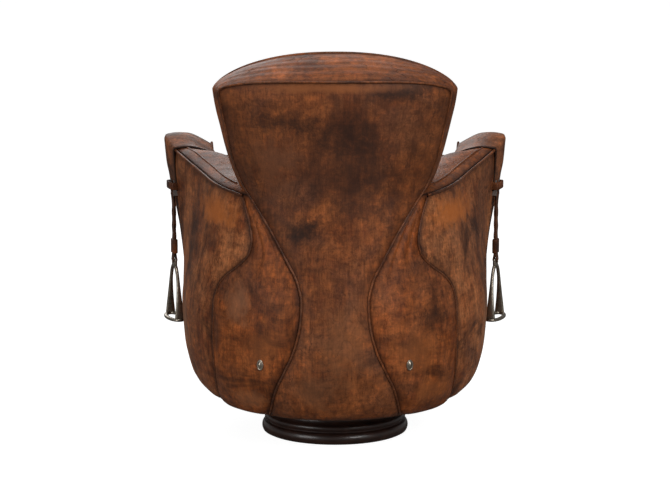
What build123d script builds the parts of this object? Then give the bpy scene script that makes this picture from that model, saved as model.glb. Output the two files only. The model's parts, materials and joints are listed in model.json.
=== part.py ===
from build123d import *
import math
import os

# Swivel armchair covered in saddle leather, with a stirrup hung from each arm.
# Millimetres, +Z up, the swivel axis on Z, the sitter facing -Y. The origin is the
# centre of the felt disc that the turned base stands on.

os.makedirs("parts", exist_ok=True)

# ---- driving sizes -------------------------------------------------------
tub_half_width = 368.0     # side of the tub at deck height
tub_rear = 368.0           # rear of the tub at deck height
tub_front = 392.0          # front of the tub, forward of the swivel axis
deck_z = 300.0             # top of the tub and underside of the seat pad
seat_top_z = 436.0         # crown of the seat pad
arm_rear_z = 613.0         # outer edge of the arm where it meets the back
arm_rise = 48.0            # how much higher that edge is at the pommel
back_top_z = 932.0         # front arch of the backrest
back_waist_half = 205.0    # backrest between the arms
shoulder_half = 282.0      # backrest at its front shoulders
hide = 4.0                 # leather with its lining
band_hide = 4.0            # doubled leather of the arm band

felt_t = 2.5
plinth_r = 177.0
plinth_h = 29.0
collar_h = 42.0
plate_t = 3.0
plate_side = 200.0
ball_r = 4.0
ball_count = 14
race_r = 74.0
pivot_r = 9.0
mount_block_r = 112.0
mount_block_t = 6.0
under_gap = 1.0            # dust cover to leather hem
board_t = 18.0             # plywood bottom board
rail_t = 28.0
rail_h = 88.0
post = 30.0
run_gap = 0.06             # running clearance, on the radius

strap_w = 24.0
strap_t = 6.8              # two thicknesses of stirrup leather
bar_r = 2.6                # bar that the stirrup leather hangs from
loop_gap = 0.3
loop_hide = 3.0
strap_drop = 167.0         # from the hanging bar to the eye of the iron
iron_h = 150.0             # from the eye bar to the underside of the tread
iron_half = 55.0           # outside of a branch, from the middle of the iron
tread_t = 8.0

side_y = 80.0              # where the tub's rear curve becomes its side
front_y = -250.0           # where its side becomes its front corner

# ---- heights that follow from them ---------------------------------------
plinth_top = felt_t + plinth_h
collar_top = plinth_top + collar_h
lower_plate_top = collar_top + plate_t
ball_z = lower_plate_top + 6.0
upper_plate_z = ball_z + 6.0
block_z = upper_plate_z + plate_t
board_z = block_z + mount_block_t
hem_z = board_z - 2.0
rail_z = board_z + board_t
rail_top = rail_z + rail_h
pommel_z = arm_rear_z + arm_rise

# Each level of a form: height, rear, side at side_y, side at front_y, flare, front.
levels = [
    (hem_z, tub_rear - 57, tub_half_width - 116, tub_half_width - 96, 0.0, tub_front - 52),
    (hem_z + 15, tub_rear - 30, tub_half_width - 78, tub_half_width - 58, 0.0, tub_front - 28),
    (hem_z + 55, tub_rear - 11, tub_half_width - 46, tub_half_width - 28, 0.0, tub_front - 9),
    (hem_z + 125, tub_rear - 1, tub_half_width - 30, tub_half_width - 11, 0.0, tub_front),
    (deck_z, tub_rear, tub_half_width - 26, tub_half_width - 2, 0.0, tub_front),
    (deck_z + 0.48 * (arm_rear_z - deck_z), tub_rear - 13, tub_half_width - 50, tub_half_width + 12, 0.18, tub_front),
    (arm_rear_z, tub_rear - 18, tub_half_width - 74, tub_half_width + 36, 0.38, tub_front),
    (pommel_z + 30, tub_rear - 12, tub_half_width - 38, tub_half_width + 44, 0.38, tub_front),
    (back_top_z - 82, tub_rear + 4, tub_half_width + 32, tub_half_width + 62, 0.3, tub_front),
    (back_top_z + 14, tub_rear + 10, tub_half_width + 57, tub_half_width + 72, 0.3, tub_front),
]
arm_t = 104.0              # padded arm, outside to inside
room_front = tub_front + 90
arm_room_levels = [
    (deck_z - 0.5, 320.0, tub_half_width - 24 - arm_t, tub_half_width - arm_t, 0.0, room_front),
    (deck_z + 0.48 * (arm_rear_z - deck_z), 320.0, tub_half_width - 48 - arm_t, tub_half_width + 14 - arm_t, 0.18, room_front),
    (arm_rear_z, 320.0, tub_half_width - 74 - arm_t, tub_half_width + 36 - arm_t, 0.38, room_front),
    (pommel_z + 60, 320.0, tub_half_width - 66 - arm_t, tub_half_width + 46 - arm_t, 0.38, room_front),
]
back_room_levels = [
    (deck_z - 0.5, 176.0, 372.0, 400.0, 0.0, room_front),
    (arm_rear_z - 60, 182.0, 372.0, 400.0, 0.0, room_front),
    (back_top_z - 100, 196.0, 372.0, 400.0, 0.0, room_front),
    (back_top_z + 40, 214.0, 372.0, 400.0, 0.0, room_front),
]


# ---- the outer form ------------------------------------------------------
def blend_level(z):
    """The level's values at any height, read off straight between its neighbours."""
    z = min(max(z, levels[0][0]), levels[-1][0])
    for low, high in zip(levels, levels[1:]):
        if z <= high[0]:
            t = (z - low[0]) / (high[0] - low[0])
            return [a + t * (b - a) for a, b in zip(low, high)]
    return list(levels[-1])


def half_curves(level, grow=0.0):
    """Control points of the half outline's rear, side and front curves, from rear to front."""
    _, rear, side, front_side, flare, front = level
    rear, side, front_side = rear + grow, side + grow, front_side + grow
    front = -front - grow
    lean = 0.27
    reach = (side_y - front_y) / 3
    corner = 0.72 * (front_y - front)
    rear_curve = [(0, rear), (0.58 * side, rear),
                  (side - lean * 0.52 * (rear - side_y), side_y + 0.52 * (rear - side_y)), (side, side_y)]
    side_curve = [rear_curve[3], (side + lean * reach, side_y - reach),
                  (front_side - flare * reach, front_y + reach), (front_side, front_y)]
    front_curve = [side_curve[3], (front_side + flare * corner, front_y - corner),
                   (0.68 * front_side, front), (0, front)]
    return [rear_curve, side_curve, front_curve]


def outline(level, grow=0.0):
    """The closed outline of a form at one level, as a face."""
    half = half_curves(level, grow)
    edges = [Edge.make_bezier(*[(x, y, level[0]) for x, y in curve]) for curve in half]
    edges += [Edge.make_bezier(*[(-x, y, level[0]) for x, y in reversed(curve)]) for curve in reversed(half)]
    return Face(Wire(edges))


def form(rows, grow=0.0):
    """A closed form through its levels, grown outwards by the thickness of what lies on it."""
    return loft([outline(row, grow) for row in rows])


def bezier(curve, t):
    s = 1 - t
    weights = (s ** 3, 3 * s * s * t, 3 * s * t * t, t ** 3)
    return tuple(sum(w * p[k] for w, p in zip(weights, curve)) for k in (0, 1))


def side_at(y, z, grow=0.0):
    """Half width of the outer form at a depth and height."""
    for curve in half_curves(blend_level(z), grow):
        if curve[0][1] >= y >= curve[3][1]:
            low, high = 0.0, 1.0
            for _ in range(40):
                t = (low + high) / 2
                low, high = (t, high) if bezier(curve, t)[1] > y else (low, t)
            return bezier(curve, low)[0]
    return 0.0


def rear_at(x, z, grow=0.0):
    """Rear of the outer form at a distance from the middle and a height."""
    curve = half_curves(blend_level(z), grow)[0]
    low, high = 0.0, 1.0
    for _ in range(40):
        t = (low + high) / 2
        low, high = (t, high) if bezier(curve, t)[0] < abs(x) else (low, t)
    return bezier(curve, low)[1]


# ---- small helpers -------------------------------------------------------
def save(name, shape):
    """Write one node: its solids, and nothing else."""
    solids = shape.solids()
    export_step(Compound(children=list(solids)) if len(solids) > 1 else solids[0], f"parts/{name}.step")


def box(x0, x1, y0, y1, z0, z1):
    return Pos((x0 + x1) / 2, (y0 + y1) / 2, (z0 + z1) / 2) * Box(abs(x1 - x0), abs(y1 - y0), abs(z1 - z0))


def beam(p, q, width, depth):
    """A square-cut timber from p to q."""
    p, q = Vector(p), Vector(q)
    along = q - p
    cross = Vector(1, 0, 0) if abs(along.normalized().X) < 0.9 else Vector(0, 1, 0)
    frame = Plane(origin=p, x_dir=cross, z_dir=along)
    return extrude(frame * Rectangle(width, depth), along.length)


def prism_xz(points, y0, y1):
    """A plate cut to points in X and Z, from y0 to y1."""
    face = Face(Wire.make_polygon([(x, y0, z) for x, z in points], close=True))
    return extrude(face, y1 - y0, dir=(0, 1, 0))


def plate_xy(points, z0, z1):
    face = Face(Wire.make_polygon([(x, y, z0) for x, y in points], close=True))
    return extrude(face, z1 - z0, dir=(0, 0, 1))


def both_sides(make):
    """The left part as made, at +X, and its mirror image."""
    left = make()
    return {"left": left, "right": mirror(left, about=Plane.YZ)}


def group(*shapes):
    return Compound(children=[s for shape in shapes for s in shape.solids()])


# ---- turned base and swivel ---------------------------------------------
def turned(points):
    return revolve(make_face(Polyline(*[(r, 0, z) for r, z in points], close=True)), axis=Axis.Z)


def turned_plinth():
    r, z0, z1 = plinth_r, felt_t, plinth_top
    profile = [Edge.make_line((0, 0, z0), (r - 3, 0, z0)),
               Edge.make_three_point_arc((r - 3, 0, z0), (r, 0, z0 + 11), (r - 5, 0, z1 - 6)),
               Edge.make_line((r - 5, 0, z1 - 6), (r - 11, 0, z1 - 4)),
               Edge.make_line((r - 11, 0, z1 - 4), (r - 11, 0, z1)),
               Edge.make_line((r - 11, 0, z1), (0, 0, z1)),
               Edge.make_line((0, 0, z1), (0, 0, z0))]
    return revolve(Face(Wire(profile)), axis=Axis.Z)


def turned_collar():
    r, z0, z1 = plinth_r - 8, plinth_top, collar_top
    inner = plinth_r - 45
    profile = [Edge.make_line((inner, 0, z0), (r, 0, z0)),
               Edge.make_three_point_arc((r, 0, z0), (r + 2, 0, z0 + 7), (r - 2, 0, z0 + 14)),
               Edge.make_three_point_arc((r - 2, 0, z0 + 14), (r - 8, 0, z0 + 26), (r - 6, 0, z1 - 4)),
               Edge.make_line((r - 6, 0, z1 - 4), (r - 10, 0, z1)),
               Edge.make_line((r - 10, 0, z1), (inner, 0, z1)),
               Edge.make_line((inner, 0, z1), (inner, 0, z0))]
    return revolve(Face(Wire(profile)), axis=Axis.Z)


felt = Pos(0, 0, felt_t / 2) * Cylinder(plinth_r - 8, felt_t)
base_plinth = turned_plinth()
base_core = Pos(0, 0, plinth_top + collar_h / 2) * Cylinder(plinth_r - 45, collar_h)
base_collar = turned_collar()


def screw(x, y, z_head, length, up=False, r=2.4, head_r=4.4, head_h=2.4):
    """A countersunk wood screw; its head's flat face is at z_head."""
    sign = 1 if up else -1
    head = Cone(head_r, r, head_h) if up else Cone(r, head_r, head_h)
    return (Pos(x, y, z_head + sign * head_h / 2) * head
            + Pos(x, y, z_head + sign * (head_h + (length - head_h) / 2)) * Cylinder(r, length - head_h))


def ring(r0, r1, z0, z1):
    return Pos(0, 0, (z0 + z1) / 2) * (Cylinder(r1, z1 - z0) - Cylinder(r0, z1 - z0 + 1))


def around(count, radius, start=0.0):
    for i in range(count):
        a = math.radians(start + 360 * i / count)
        yield radius * math.cos(a), radius * math.sin(a)


plate_hole = plate_side / 2 - 14
corner_points = [(sx * plate_hole, sy * plate_hole) for sx in (1, -1) for sy in (1, -1)]
groove = Pos(0, 0, ball_z) * Torus(race_r, ball_r + run_gap)
lower_screws = [screw(x, y, lower_plate_top, 22) for x, y in corner_points]
upper_screws = [screw(x, y, upper_plate_z, 16, up=True) for x, y in corner_points]
lower_plate = (Pos(0, 0, collar_top + plate_t / 2) * Box(plate_side, plate_side, plate_t)
               + ring(race_r - 9, race_r + 9, lower_plate_top, ball_z - 1.2)
               - groove - Pos(0, 0, collar_top) * Cylinder(pivot_r, 40))
for s in lower_screws:
    lower_plate = lower_plate - s
    base_core = base_core - s
base_core = base_core - Pos(0, 0, collar_top - 9) * Cylinder(pivot_r + 6, 18.001)
pivot_top = block_z + 1.5
swivel_pivot = (Pos(0, 0, (collar_top - 6 + pivot_top) / 2) * Cylinder(pivot_r, pivot_top - collar_top + 6)
                + Pos(0, 0, collar_top - 4) * Cylinder(pivot_r + 5, 8)
                + Pos(0, 0, pivot_top + 1) * Cylinder(pivot_r - 0.5, 2))
upper_plate = (Pos(0, 0, upper_plate_z + plate_t / 2) * Box(plate_side, plate_side, plate_t)
               + ring(race_r - 9, race_r + 9, ball_z + 1.2, upper_plate_z)
               - groove - Pos(0, 0, upper_plate_z) * Cylinder(pivot_r + run_gap, 40))
mount_block = (Pos(0, 0, block_z + mount_block_t / 2) * Box(plate_side + 24, plate_side + 24, mount_block_t)
               - Pos(0, 0, block_z) * Cylinder(pivot_r + 8, 60))
balls = group(*[Pos(x, y, ball_z) * Sphere(ball_r) for x, y in around(ball_count, race_r)])
cage = ring(race_r - 7, race_r + 7, ball_z - 1.0, ball_z + 1.0)
for x, y in around(ball_count, race_r):
    cage = cage - Pos(x, y, ball_z) * Sphere(ball_r + run_gap)

# ---- timber frame --------------------------------------------------------
pad_t = 34.0               # padding between the frame and the tub's outside
core = form(levels[:5], -pad_t)
ring_z = rail_top
ring_top = ring_z + board_t
bottom_board = core & box(-500, 500, -500, 500, board_z, rail_z)
seat_ring = (core & box(-500, 500, -500, 500, ring_z, ring_top)) \
    - (form(levels[:5], -pad_t - 62) & box(-500, 500, -500, 500, ring_z - 1, ring_top + 1))
for s in upper_screws:
    upper_plate = upper_plate - s
    mount_block = mount_block - s
    bottom_board = bottom_board - s
bottom_board = bottom_board - Pos(0, 0, board_z) * Cylinder(pivot_r + 8, 60)

rail_x = tub_half_width - 138
rail_back = tub_rear - 130
rail_front = -(tub_front - 92)
front_rail = box(-rail_x + 14, rail_x - 14, rail_front - rail_t / 2, rail_front + rail_t / 2, rail_z, rail_top)
back_rail = box(-rail_x + 75, rail_x - 75, rail_back - rail_t / 2, rail_back + rail_t / 2, rail_z, rail_top)


def side_rail():
    p0, p1 = (rail_x, rail_front - rail_t / 2), (rail_x, 60)
    p2 = (rail_x - 75, rail_back + rail_t / 2)
    inset = rail_t
    bent = plate_xy([p0, p1, p2, (p2[0] - inset, p2[1]), (p1[0] - inset, p1[1] - 8), (p0[0] - inset, p0[1])],
                    rail_z, rail_top)
    return bent - front_rail - back_rail


side_rails = both_sides(side_rail)

arm_mid = 0.5 * arm_t
front_post_y = front_y - 42
back_post_y = 236.0
front_post_top = arm_rear_z + 0.35 * arm_rise


def front_post():
    foot = tub_half_width - 4 - pad_t - 31
    head = tub_half_width + 38 - arm_mid
    return beam((foot, front_post_y, ring_top - 2), (head, front_post_y, front_post_top), post, post) \
        & box(0, 600, -500, 500, ring_top, 2000)


def back_post():
    return beam((back_waist_half - 62, back_post_y, ring_top - 2), (shoulder_half - 62, back_post_y, back_top_z - 80),
                post, post) & box(0, 600, -500, 500, ring_top, 2000)


front_posts = both_sides(front_post)
back_posts = both_sides(back_post)


def arm_rail():
    t = (arm_rear_z - 40 - ring_top) / (back_top_z - 80 - ring_top)
    x0 = back_waist_half - 62 + t * (shoulder_half - back_waist_half)
    rail = beam((x0, back_post_y, arm_rear_z - 42), (tub_half_width + 35 - arm_mid, front_post_y, arm_rear_z - 26), 26, 34)
    rail = (rail - front_posts["left"] - back_posts["left"]) & box(0, 600, front_post_y, back_post_y, 0, 2000)
    return max(rail.solids(), key=lambda solid: solid.volume)


arm_rails = both_sides(arm_rail)
crest_z = back_top_z - 98
crest_rail = box(-shoulder_half + 42, shoulder_half - 42, back_post_y - 12, back_post_y + 12, crest_z - 30, crest_z + 30) \
    - back_posts["left"] - back_posts["right"]
crest_rail = max(crest_rail.solids(), key=lambda s: s.volume)
lumbar_z = deck_z + 170
lumbar_rail = box(-shoulder_half, shoulder_half, back_post_y - 12, back_post_y + 12, lumbar_z - 25, lumbar_z + 25) \
    - back_posts["left"] - back_posts["right"]
lumbar_rail = max(lumbar_rail.solids(), key=lambda s: s.volume)

# springs run front to back over the seat ring
spring_z = ring_top + 4.2
spring_reach = (rail_front + 24, rail_back - 46)


def zigzag(x):
    turns = 15
    step = (spring_reach[1] - spring_reach[0]) / turns
    points = [(x, spring_reach[0] - 8, spring_z)]
    for i in range(turns):
        y = spring_reach[0] + (i + 0.5) * step
        points += [(x + (17 if i % 2 else -17), y - step * 0.22, spring_z),
                   (x + (17 if i % 2 else -17), y + step * 0.22, spring_z)]
    points.append((x, spring_reach[1] + 8, spring_z))
    path = FilletPolyline(*points, radius=4.0)
    start = Plane(origin=path @ 0, z_dir=path % 0)
    return sweep(start * Circle(1.9), path=path)


spring_xs = [i * 78.0 for i in (-2, -1, 0, 1, 2)]
seat_springs = [zigzag(x) for x in spring_xs]
clips = []
for x in spring_xs:
    for y in (spring_reach[0] - 8, spring_reach[1] + 8):
        clips.append(box(x - 22, x + 22, y - 7, y + 7, ring_top, ring_top + 7.6))
for i, wire in enumerate(seat_springs):
    clips[2 * i] = clips[2 * i] - wire
    clips[2 * i + 1] = clips[2 * i + 1] - wire
spring_clips = [s for clip in clips for s in clip.solids() if s.volume > 500]

frame_pieces = [front_posts["left"], front_posts["right"], back_posts["left"], back_posts["right"],
                arm_rails["left"], arm_rails["right"], crest_rail, lumbar_rail]


def clear_of(shape, pieces):
    for piece in pieces:
        shape = shape - piece
    return shape


# ---- padding -------------------------------------------------------------
outer = form(levels)
outer_hide = form(levels, hide)
outer_band = form(levels, hide + band_hide)
arm_room = form(arm_room_levels)
back_room = form(back_room_levels)
arm_back_y = 170.0
pommel_y = -(tub_front - 62)


def arm_profile(extra=0.0):
    """Side view of the arm, from the deck up, thickened on top and in front."""
    r, rise = arm_rear_z + extra, arm_rise
    top = Edge.make_spline([(0, arm_back_y, r + 3), (0, 40, r + 0.24 * rise), (0, -130, r + 0.62 * rise),
                            (0, -210, r + 0.86 * rise), (0, -290, r + 1.38 * rise), (0, pommel_y, r + 1.52 * rise),
                            (0, -tub_front + 14 - extra, r + 1.14 * rise)])
    corner = Edge.make_spline([(0, -tub_front + 14 - extra, r + 1.14 * rise), (0, -tub_front + 1 - extra, r + 0.62 * rise),
                               (0, -tub_front - 1 - extra, r - 0.2 * rise)])
    rest = Wire.make_polygon([(0, -tub_front - 1 - extra, r - 0.2 * rise), (0, -tub_front - 40, deck_z),
                              (0, arm_back_y, deck_z), (0, arm_back_y, r + 3)], close=False)
    return extrude(Face(Wire([top, corner] + list(rest.edges()))), 600, dir=(1, 0, 0))


arm_block = arm_profile()


def fan_half(z):
    """Half width of the fan-shaped back panel at a height."""
    span = back_top_z - hem_z
    s, w = shoulder_half / 282.0, back_waist_half / 205.0
    rows = [(0.0, 152 * w), (0.085, 137 * w), (0.14, 117 * w), (0.21, 92 * w), (0.28, 79 * w), (0.335, 76 * w),
            (0.39, 85 * w), (0.447, 109 * w), (0.53, 147 * w), (0.59, 180 * w), (0.65, 213 * w), (0.722, 234 * s),
            (0.794, 247 * s), (0.90, 264 * s), (1.1, 276 * s)]
    t = (z - hem_z) / span
    for (a, u), (b, v) in zip(rows, rows[1:]):
        if t <= b:
            return u + (v - u) * (t - a) / (b - a)
    return rows[-1][1]


def fan_curve(z0, z1, steps, shift=0.0):
    return [(fan_half(z0 + (z1 - z0) * i / steps) + shift, z0 + (z1 - z0) * i / steps) for i in range(steps + 1)]


back_foot = arm_rear_z - 2
shoulder_z = back_top_z - 82


def crest_face(y, wide, top):
    """The backrest above the arms, in one plane: a waist, shoulders and an arch."""
    side = fan_curve(back_foot, shoulder_z, 5, wide)
    corner = side[-1]
    arch = [corner, (corner[0] * 0.955, shoulder_z + 0.42 * (top - shoulder_z)),
            (corner[0] * 0.80, shoulder_z + 0.70 * (top - shoulder_z)),
            (corner[0] * 0.45, shoulder_z + 0.93 * (top - shoulder_z)), (0, top)]
    edges = [Edge.make_line((-side[0][0], y, back_foot), (side[0][0], y, back_foot)),
             Edge.make_spline([(x, y, z) for x, z in side]),
             Edge.make_spline([(x, y, z) for x, z in arch] + [(-x, y, z) for x, z in reversed(arch[:-1])]),
             Edge.make_spline([(-x, y, z) for x, z in reversed(side)])]
    return Face(Wire(edges))


crest_slope = (back_top_z - (back_top_z - 52)) / (tub_rear + 4 - 200)
crest_block = loft([crest_face(430, -26, back_top_z - crest_slope * 230),
                    crest_face(60, 46, back_top_z + crest_slope * 140)], ruled=True)
back_block = crest_block + box(-500, 500, arm_back_y, 500, deck_z, back_foot)
back_solid = (outer & back_block) - back_room
back_pad = clear_of(back_solid, frame_pieces)
tub_pad = clear_of((outer & box(-600, 600, -600, 600, hem_z, deck_z)) - core,
                   [front_posts["left"], front_posts["right"], side_rails["left"], side_rails["right"]])
deck_pad = clear_of(core & box(-600, 600, -600, 600, spring_z + 6, deck_z), frame_pieces)
arm_solid = (outer & arm_block) - arm_room - back_block


def arm_pad():
    return clear_of(arm_solid, [front_posts["left"], back_posts["left"], arm_rails["left"]])


arm_pads = both_sides(arm_pad)
seat_gap = 1.5
seat_cushion = (form(arm_room_levels, -seat_gap)
                & box(-400, 400, -tub_front, arm_back_y - 4, deck_z, seat_top_z)
                & form(levels, -2)) - back_solid


# ---- leather panels ------------------------------------------------------
def flap_edge(z):
    """Distance from the middle of the flap's curved rear edge at a height."""
    wide = tub_half_width / 368.0
    span = arm_rear_z - hem_z
    rows = [(0.0, 262 * wide), (0.07, 273 * wide), (0.2, 281 * wide), (0.36, 283 * wide), (0.49, 281 * wide),
            (0.565, 272 * wide), (0.62, 255 * wide), (0.68, 222 * wide), (0.74, 197 * wide), (0.8, 190 * wide),
            (0.88, 196 * wide), (1.0, 214 * wide)]
    t = min(max((z - hem_z) / span, 0.0), 1.0)
    for (a, u), (b, v) in zip(rows, rows[1:]):
        if t <= b:
            return u + (v - u) * (t - a) / (b - a)
    return rows[-1][1]


def curve_xz(points, y):
    return Edge.make_spline([(x, y, z) for x, z in points])


def wide_face(rows, z0, z1, y, far=600.0):
    """From a curve given as (x, z) rows out to a far side, in one plane."""
    edge = curve_xz(rows, y)
    rest = Wire.make_polygon([(rows[-1][0], y, rows[-1][1]), (far, y, z1), (far, y, z0), (rows[0][0], y, rows[0][1])],
                             close=False)
    return Face(Wire([edge] + list(rest.edges())))


def flap_rows(steps=16):
    return [(flap_edge(hem_z - 2 + (arm_rear_z - hem_z + 4) * i / steps), hem_z - 2 + (arm_rear_z - hem_z + 4) * i / steps)
            for i in range(steps + 1)]


fan_z1 = back_top_z + 40
fan_rows = fan_curve(hem_z - 2, fan_z1, 26)
fan_edge = curve_xz(fan_rows, 40)
fan_mirror = Edge.make_spline([(-x, 40, z) for x, z in reversed(fan_rows)])
fan_prism = extrude(Face(Wire([fan_edge,
                               Edge.make_line((fan_rows[-1][0], 40, fan_z1), (-fan_rows[-1][0], 40, fan_z1)),
                               fan_mirror,
                               Edge.make_line((-fan_rows[0][0], 40, hem_z - 2), (fan_rows[0][0], 40, hem_z - 2))])),
                    500, dir=(0, 1, 0))
flap_prism_rear = extrude(wide_face(flap_rows(), hem_z - 2, arm_rear_z + 2, 0), 500, dir=(0, 1, 0))
flap_prism_front = extrude(wide_face(flap_rows(), hem_z - 2, arm_rear_z + 2, -600), 600, dir=(0, 1, 0)) \
    + box(200, 600, -600, 0, arm_rear_z, arm_rear_z + 200)
rear_shell = (outer_hide - outer) & box(-600, 600, 0, 600, hem_z, back_top_z + 20)
whole_shell = (outer_hide - outer) & box(-600, 600, -600, 600, hem_z, pommel_z + 60)
below_arms = box(-600, 600, -600, 600, hem_z, deck_z)
behind_arms = box(-600, 600, arm_back_y, 600, deck_z - 1, back_foot)
flap_zone = below_arms + behind_arms + arm_block

pipe_r = 3.4
pipe_out = pipe_r + 0.5


def on_leather(x, z):
    """The point of the rear leather behind (x, z), and the way out of it."""
    sight = Axis((x, 900, z), (0, -1, 0))
    hits = [hit for face in outer_hide.faces() for hit in face.find_intersection_points(sight)]
    point, way = max(hits, key=lambda hit: hit[0].Y)
    return point, way if way.Y > 0 else way * -1


def rear_pipe(points):
    """A round cord laid on the rear leather through points given in X and Z."""
    spots = [on_leather(x, z) for x, z in points]
    path = Spline(*[tuple(point + way * pipe_out) for point, way in spots])
    start = Plane(origin=path @ 0, z_dir=path % 0)
    return sweep(start * Circle(pipe_r), path=path)


def crest_z_at(x, y):
    """Top of the backrest at a distance from the middle and a depth."""
    top = back_top_z - crest_slope * (y - 200)
    wide = fan_half(shoulder_z) - 26 + 72 * (430 - y) / 370
    t = min(abs(x) / wide, 1.0)
    rows = [(0.0, 1.0), (0.45, 0.93), (0.80, 0.70), (0.955, 0.42), (1.0, 0.0)]
    for (a, u), (b, v) in zip(rows, rows[1:]):
        if t <= b:
            return shoulder_z + (top - shoulder_z) * (u + (v - u) * (t - a) / (b - a))
    return shoulder_z


fan_side = [(fan_half(z) - 1.5, z) for z in [hem_z + 5 + (shoulder_z - 8 - hem_z - 5) * i / 23 for i in range(24)]]
top_half = [(0.95, -1.0), (0.8, -3.0), (0.62, -3.0), (0.4, -3.0), (0.2, -3.0), (0.0, -3.0)]
fan_top = [(fan_half(shoulder_z) * f, crest_z_at(fan_half(shoulder_z) * f, 290 + 80 * (1 - f)) + d) for f, d in top_half]
half_piping = rear_pipe(fan_side + fan_top)
back_piping = group(half_piping, mirror(half_piping, about=Plane.YZ))
flap_piping = both_sides(lambda: rear_pipe(
    [(flap_edge(z), z) for z in [hem_z + 5 + (arm_rear_z - 8 - hem_z - 5) * i / 19 for i in range(20)]]))

# studs low on the side back panels
stud_x, stud_z = 0.465 * tub_half_width, hem_z + 133
stud_y = rear_at(stud_x, stud_z, hide)
stud_turn = math.degrees(math.atan2(rear_at(stud_x - 5, stud_z) - rear_at(stud_x + 5, stud_z), 10))


def stud():
    dome = scale(Sphere(1), by=(12, 4.5, 8.5)) & box(-20, 20, 0, 20, -20, 20)
    shank = Pos(0, -11, 0) * Rot(90, 0, 0) * Cylinder(2.2, 22)
    return Pos(stud_x, stud_y + 0.2, stud_z) * Rot(0, 0, -stud_turn) * (dome + shank)


studs = both_sides(stud)
back_panel = rear_shell & fan_prism & (back_block + below_arms)


def side_back_panel():
    panel = (rear_shell & box(0, 600, 0, 600, hem_z, back_foot)) - fan_prism - flap_prism_rear
    panel = panel - studs["left"]
    return max(panel.solids(), key=lambda solid: solid.volume)


def flap():
    panel = (whole_shell & (flap_prism_rear + flap_prism_front) & flap_zone) - arm_room - back_block_above
    return max(panel.solids(), key=lambda solid: solid.volume)


back_block_above = crest_block & box(-600, 600, -600, 600, back_foot, 2000)
side_back_panels = both_sides(side_back_panel)
flaps = both_sides(flap)
front_apron = (whole_shell & box(-600, 600, -600, 0, hem_z, deck_z)) - flap_prism_front - mirror(flap_prism_front, about=Plane.YZ)
tub_pad = tub_pad - studs["left"] - studs["right"]

arm_cover_form = arm_profile(hide)
band_cover_form = arm_profile(hide + band_hide)
arm_top_solid = ((outer_hide & arm_cover_form) - arm_room) - arm_block - back_block - below_arms
band_room = form(arm_room_levels, -band_hide)
band_y = front_y + 18      # middle of the tab and of the hanger
bar_z = arm_rear_z - 68
tab_half = 26.0


def arm_top():
    top = arm_top_solid - flaps["left"]
    return max(top.solids(), key=lambda solid: solid.volume)


def yz_prism(points, x0, x1):
    return extrude(Face(Wire.make_polygon([(x0, y, z) for y, z in points], close=True)), x1 - x0, dir=(1, 0, 0))


def arm_band():
    high = pommel_z + 80
    outside = yz_prism([(band_y - tab_half, bar_z + 9), (band_y + tab_half, bar_z + 9), (band_y + tab_half, bar_z + 42),
                        (band_y + tab_half + 12, bar_z + 78), (band_y + tab_half + 20, high),
                        (band_y - tab_half - 62, high), (band_y - tab_half - 46, bar_z + 96),
                        (band_y - tab_half - 12, bar_z + 58), (band_y - tab_half, bar_z + 42)],
                       tub_half_width - 22, 700)
    inside = yz_prism([(band_y + tab_half + 20, bar_z + 62), (band_y + tab_half + 20, high),
                       (band_y - tab_half - 62, high), (band_y - tab_half - 62, bar_z + 62)], 100, tub_half_width - 22)
    band = ((outer_band & band_cover_form) - band_room) & (outside + inside)
    band = band - ((outer_hide & arm_cover_form) - arm_room)
    return max(band.solids(), key=lambda solid: solid.volume)


arm_tops = both_sides(arm_top)
arm_bands = both_sides(arm_band)

# ---- hanger, stirrup leather and iron -----------------------------------
face_x = side_at(band_y, bar_z, hide + band_hide)
face_turn = math.degrees(math.atan2(side_at(band_y - 12, bar_z) - side_at(band_y + 12, bar_z), 24))
bar_out = 5.0
ear_in = strap_w / 2 + 1.2
frame = Pos(face_x, band_y, bar_z) * Rot(0, 0, face_turn)
bar_frame = frame * Pos(bar_out, 0, 0)
eye_frame = bar_frame * Pos(0, 0, -strap_drop)


def rod(half, r=bar_r):
    """A round bar lying along the arm."""
    return Rot(90, 0, 0) * Cylinder(r, 2 * half)


def hanger():
    ears = box(-8, 9.5, ear_in, ear_in + 3, -4.6, 34) + box(-8, 9.5, -ear_in - 3, -ear_in, -4.6, 34)
    plate = box(-8, 3.2, -ear_in - 3, ear_in + 3, 8.5, 34)
    return frame * (ears + plate) - outer_band + bar_frame * rod(ear_in + 1.5)


def keeper_strip():
    strip = frame * box(-10, 12.4, -tab_half - 3, tab_half + 3, 12, 30)
    strip = strip - outer_band - frame * box(-12, 9.8, -ear_in - 3.2, ear_in + 3.2, -10, 40)
    return max(strip.solids(), key=lambda solid: solid.volume)


loop_r = bar_r + loop_gap


def stirrup_leather():
    eye = loop_r + loop_hide
    strap = (rod(strap_w / 2, eye) + box(-strap_t / 2, strap_t / 2, -strap_w / 2, strap_w / 2, -strap_drop, 0)
             + Pos(0, 0, -strap_drop) * rod(strap_w / 2, eye))
    return bar_frame * (strap - rod(strap_w, loop_r) - Pos(0, 0, -strap_drop) * rod(strap_w, loop_r))


def leather_keeper():
    wall = 3.2
    lift = box(-strap_t / 2 - wall, strap_t / 2 + wall, -strap_w / 2 - wall, strap_w / 2 + wall, 16, 52) \
        - box(-strap_t / 2, strap_t / 2, -strap_w / 2, strap_w / 2, 0, 70)
    return eye_frame * lift


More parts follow.
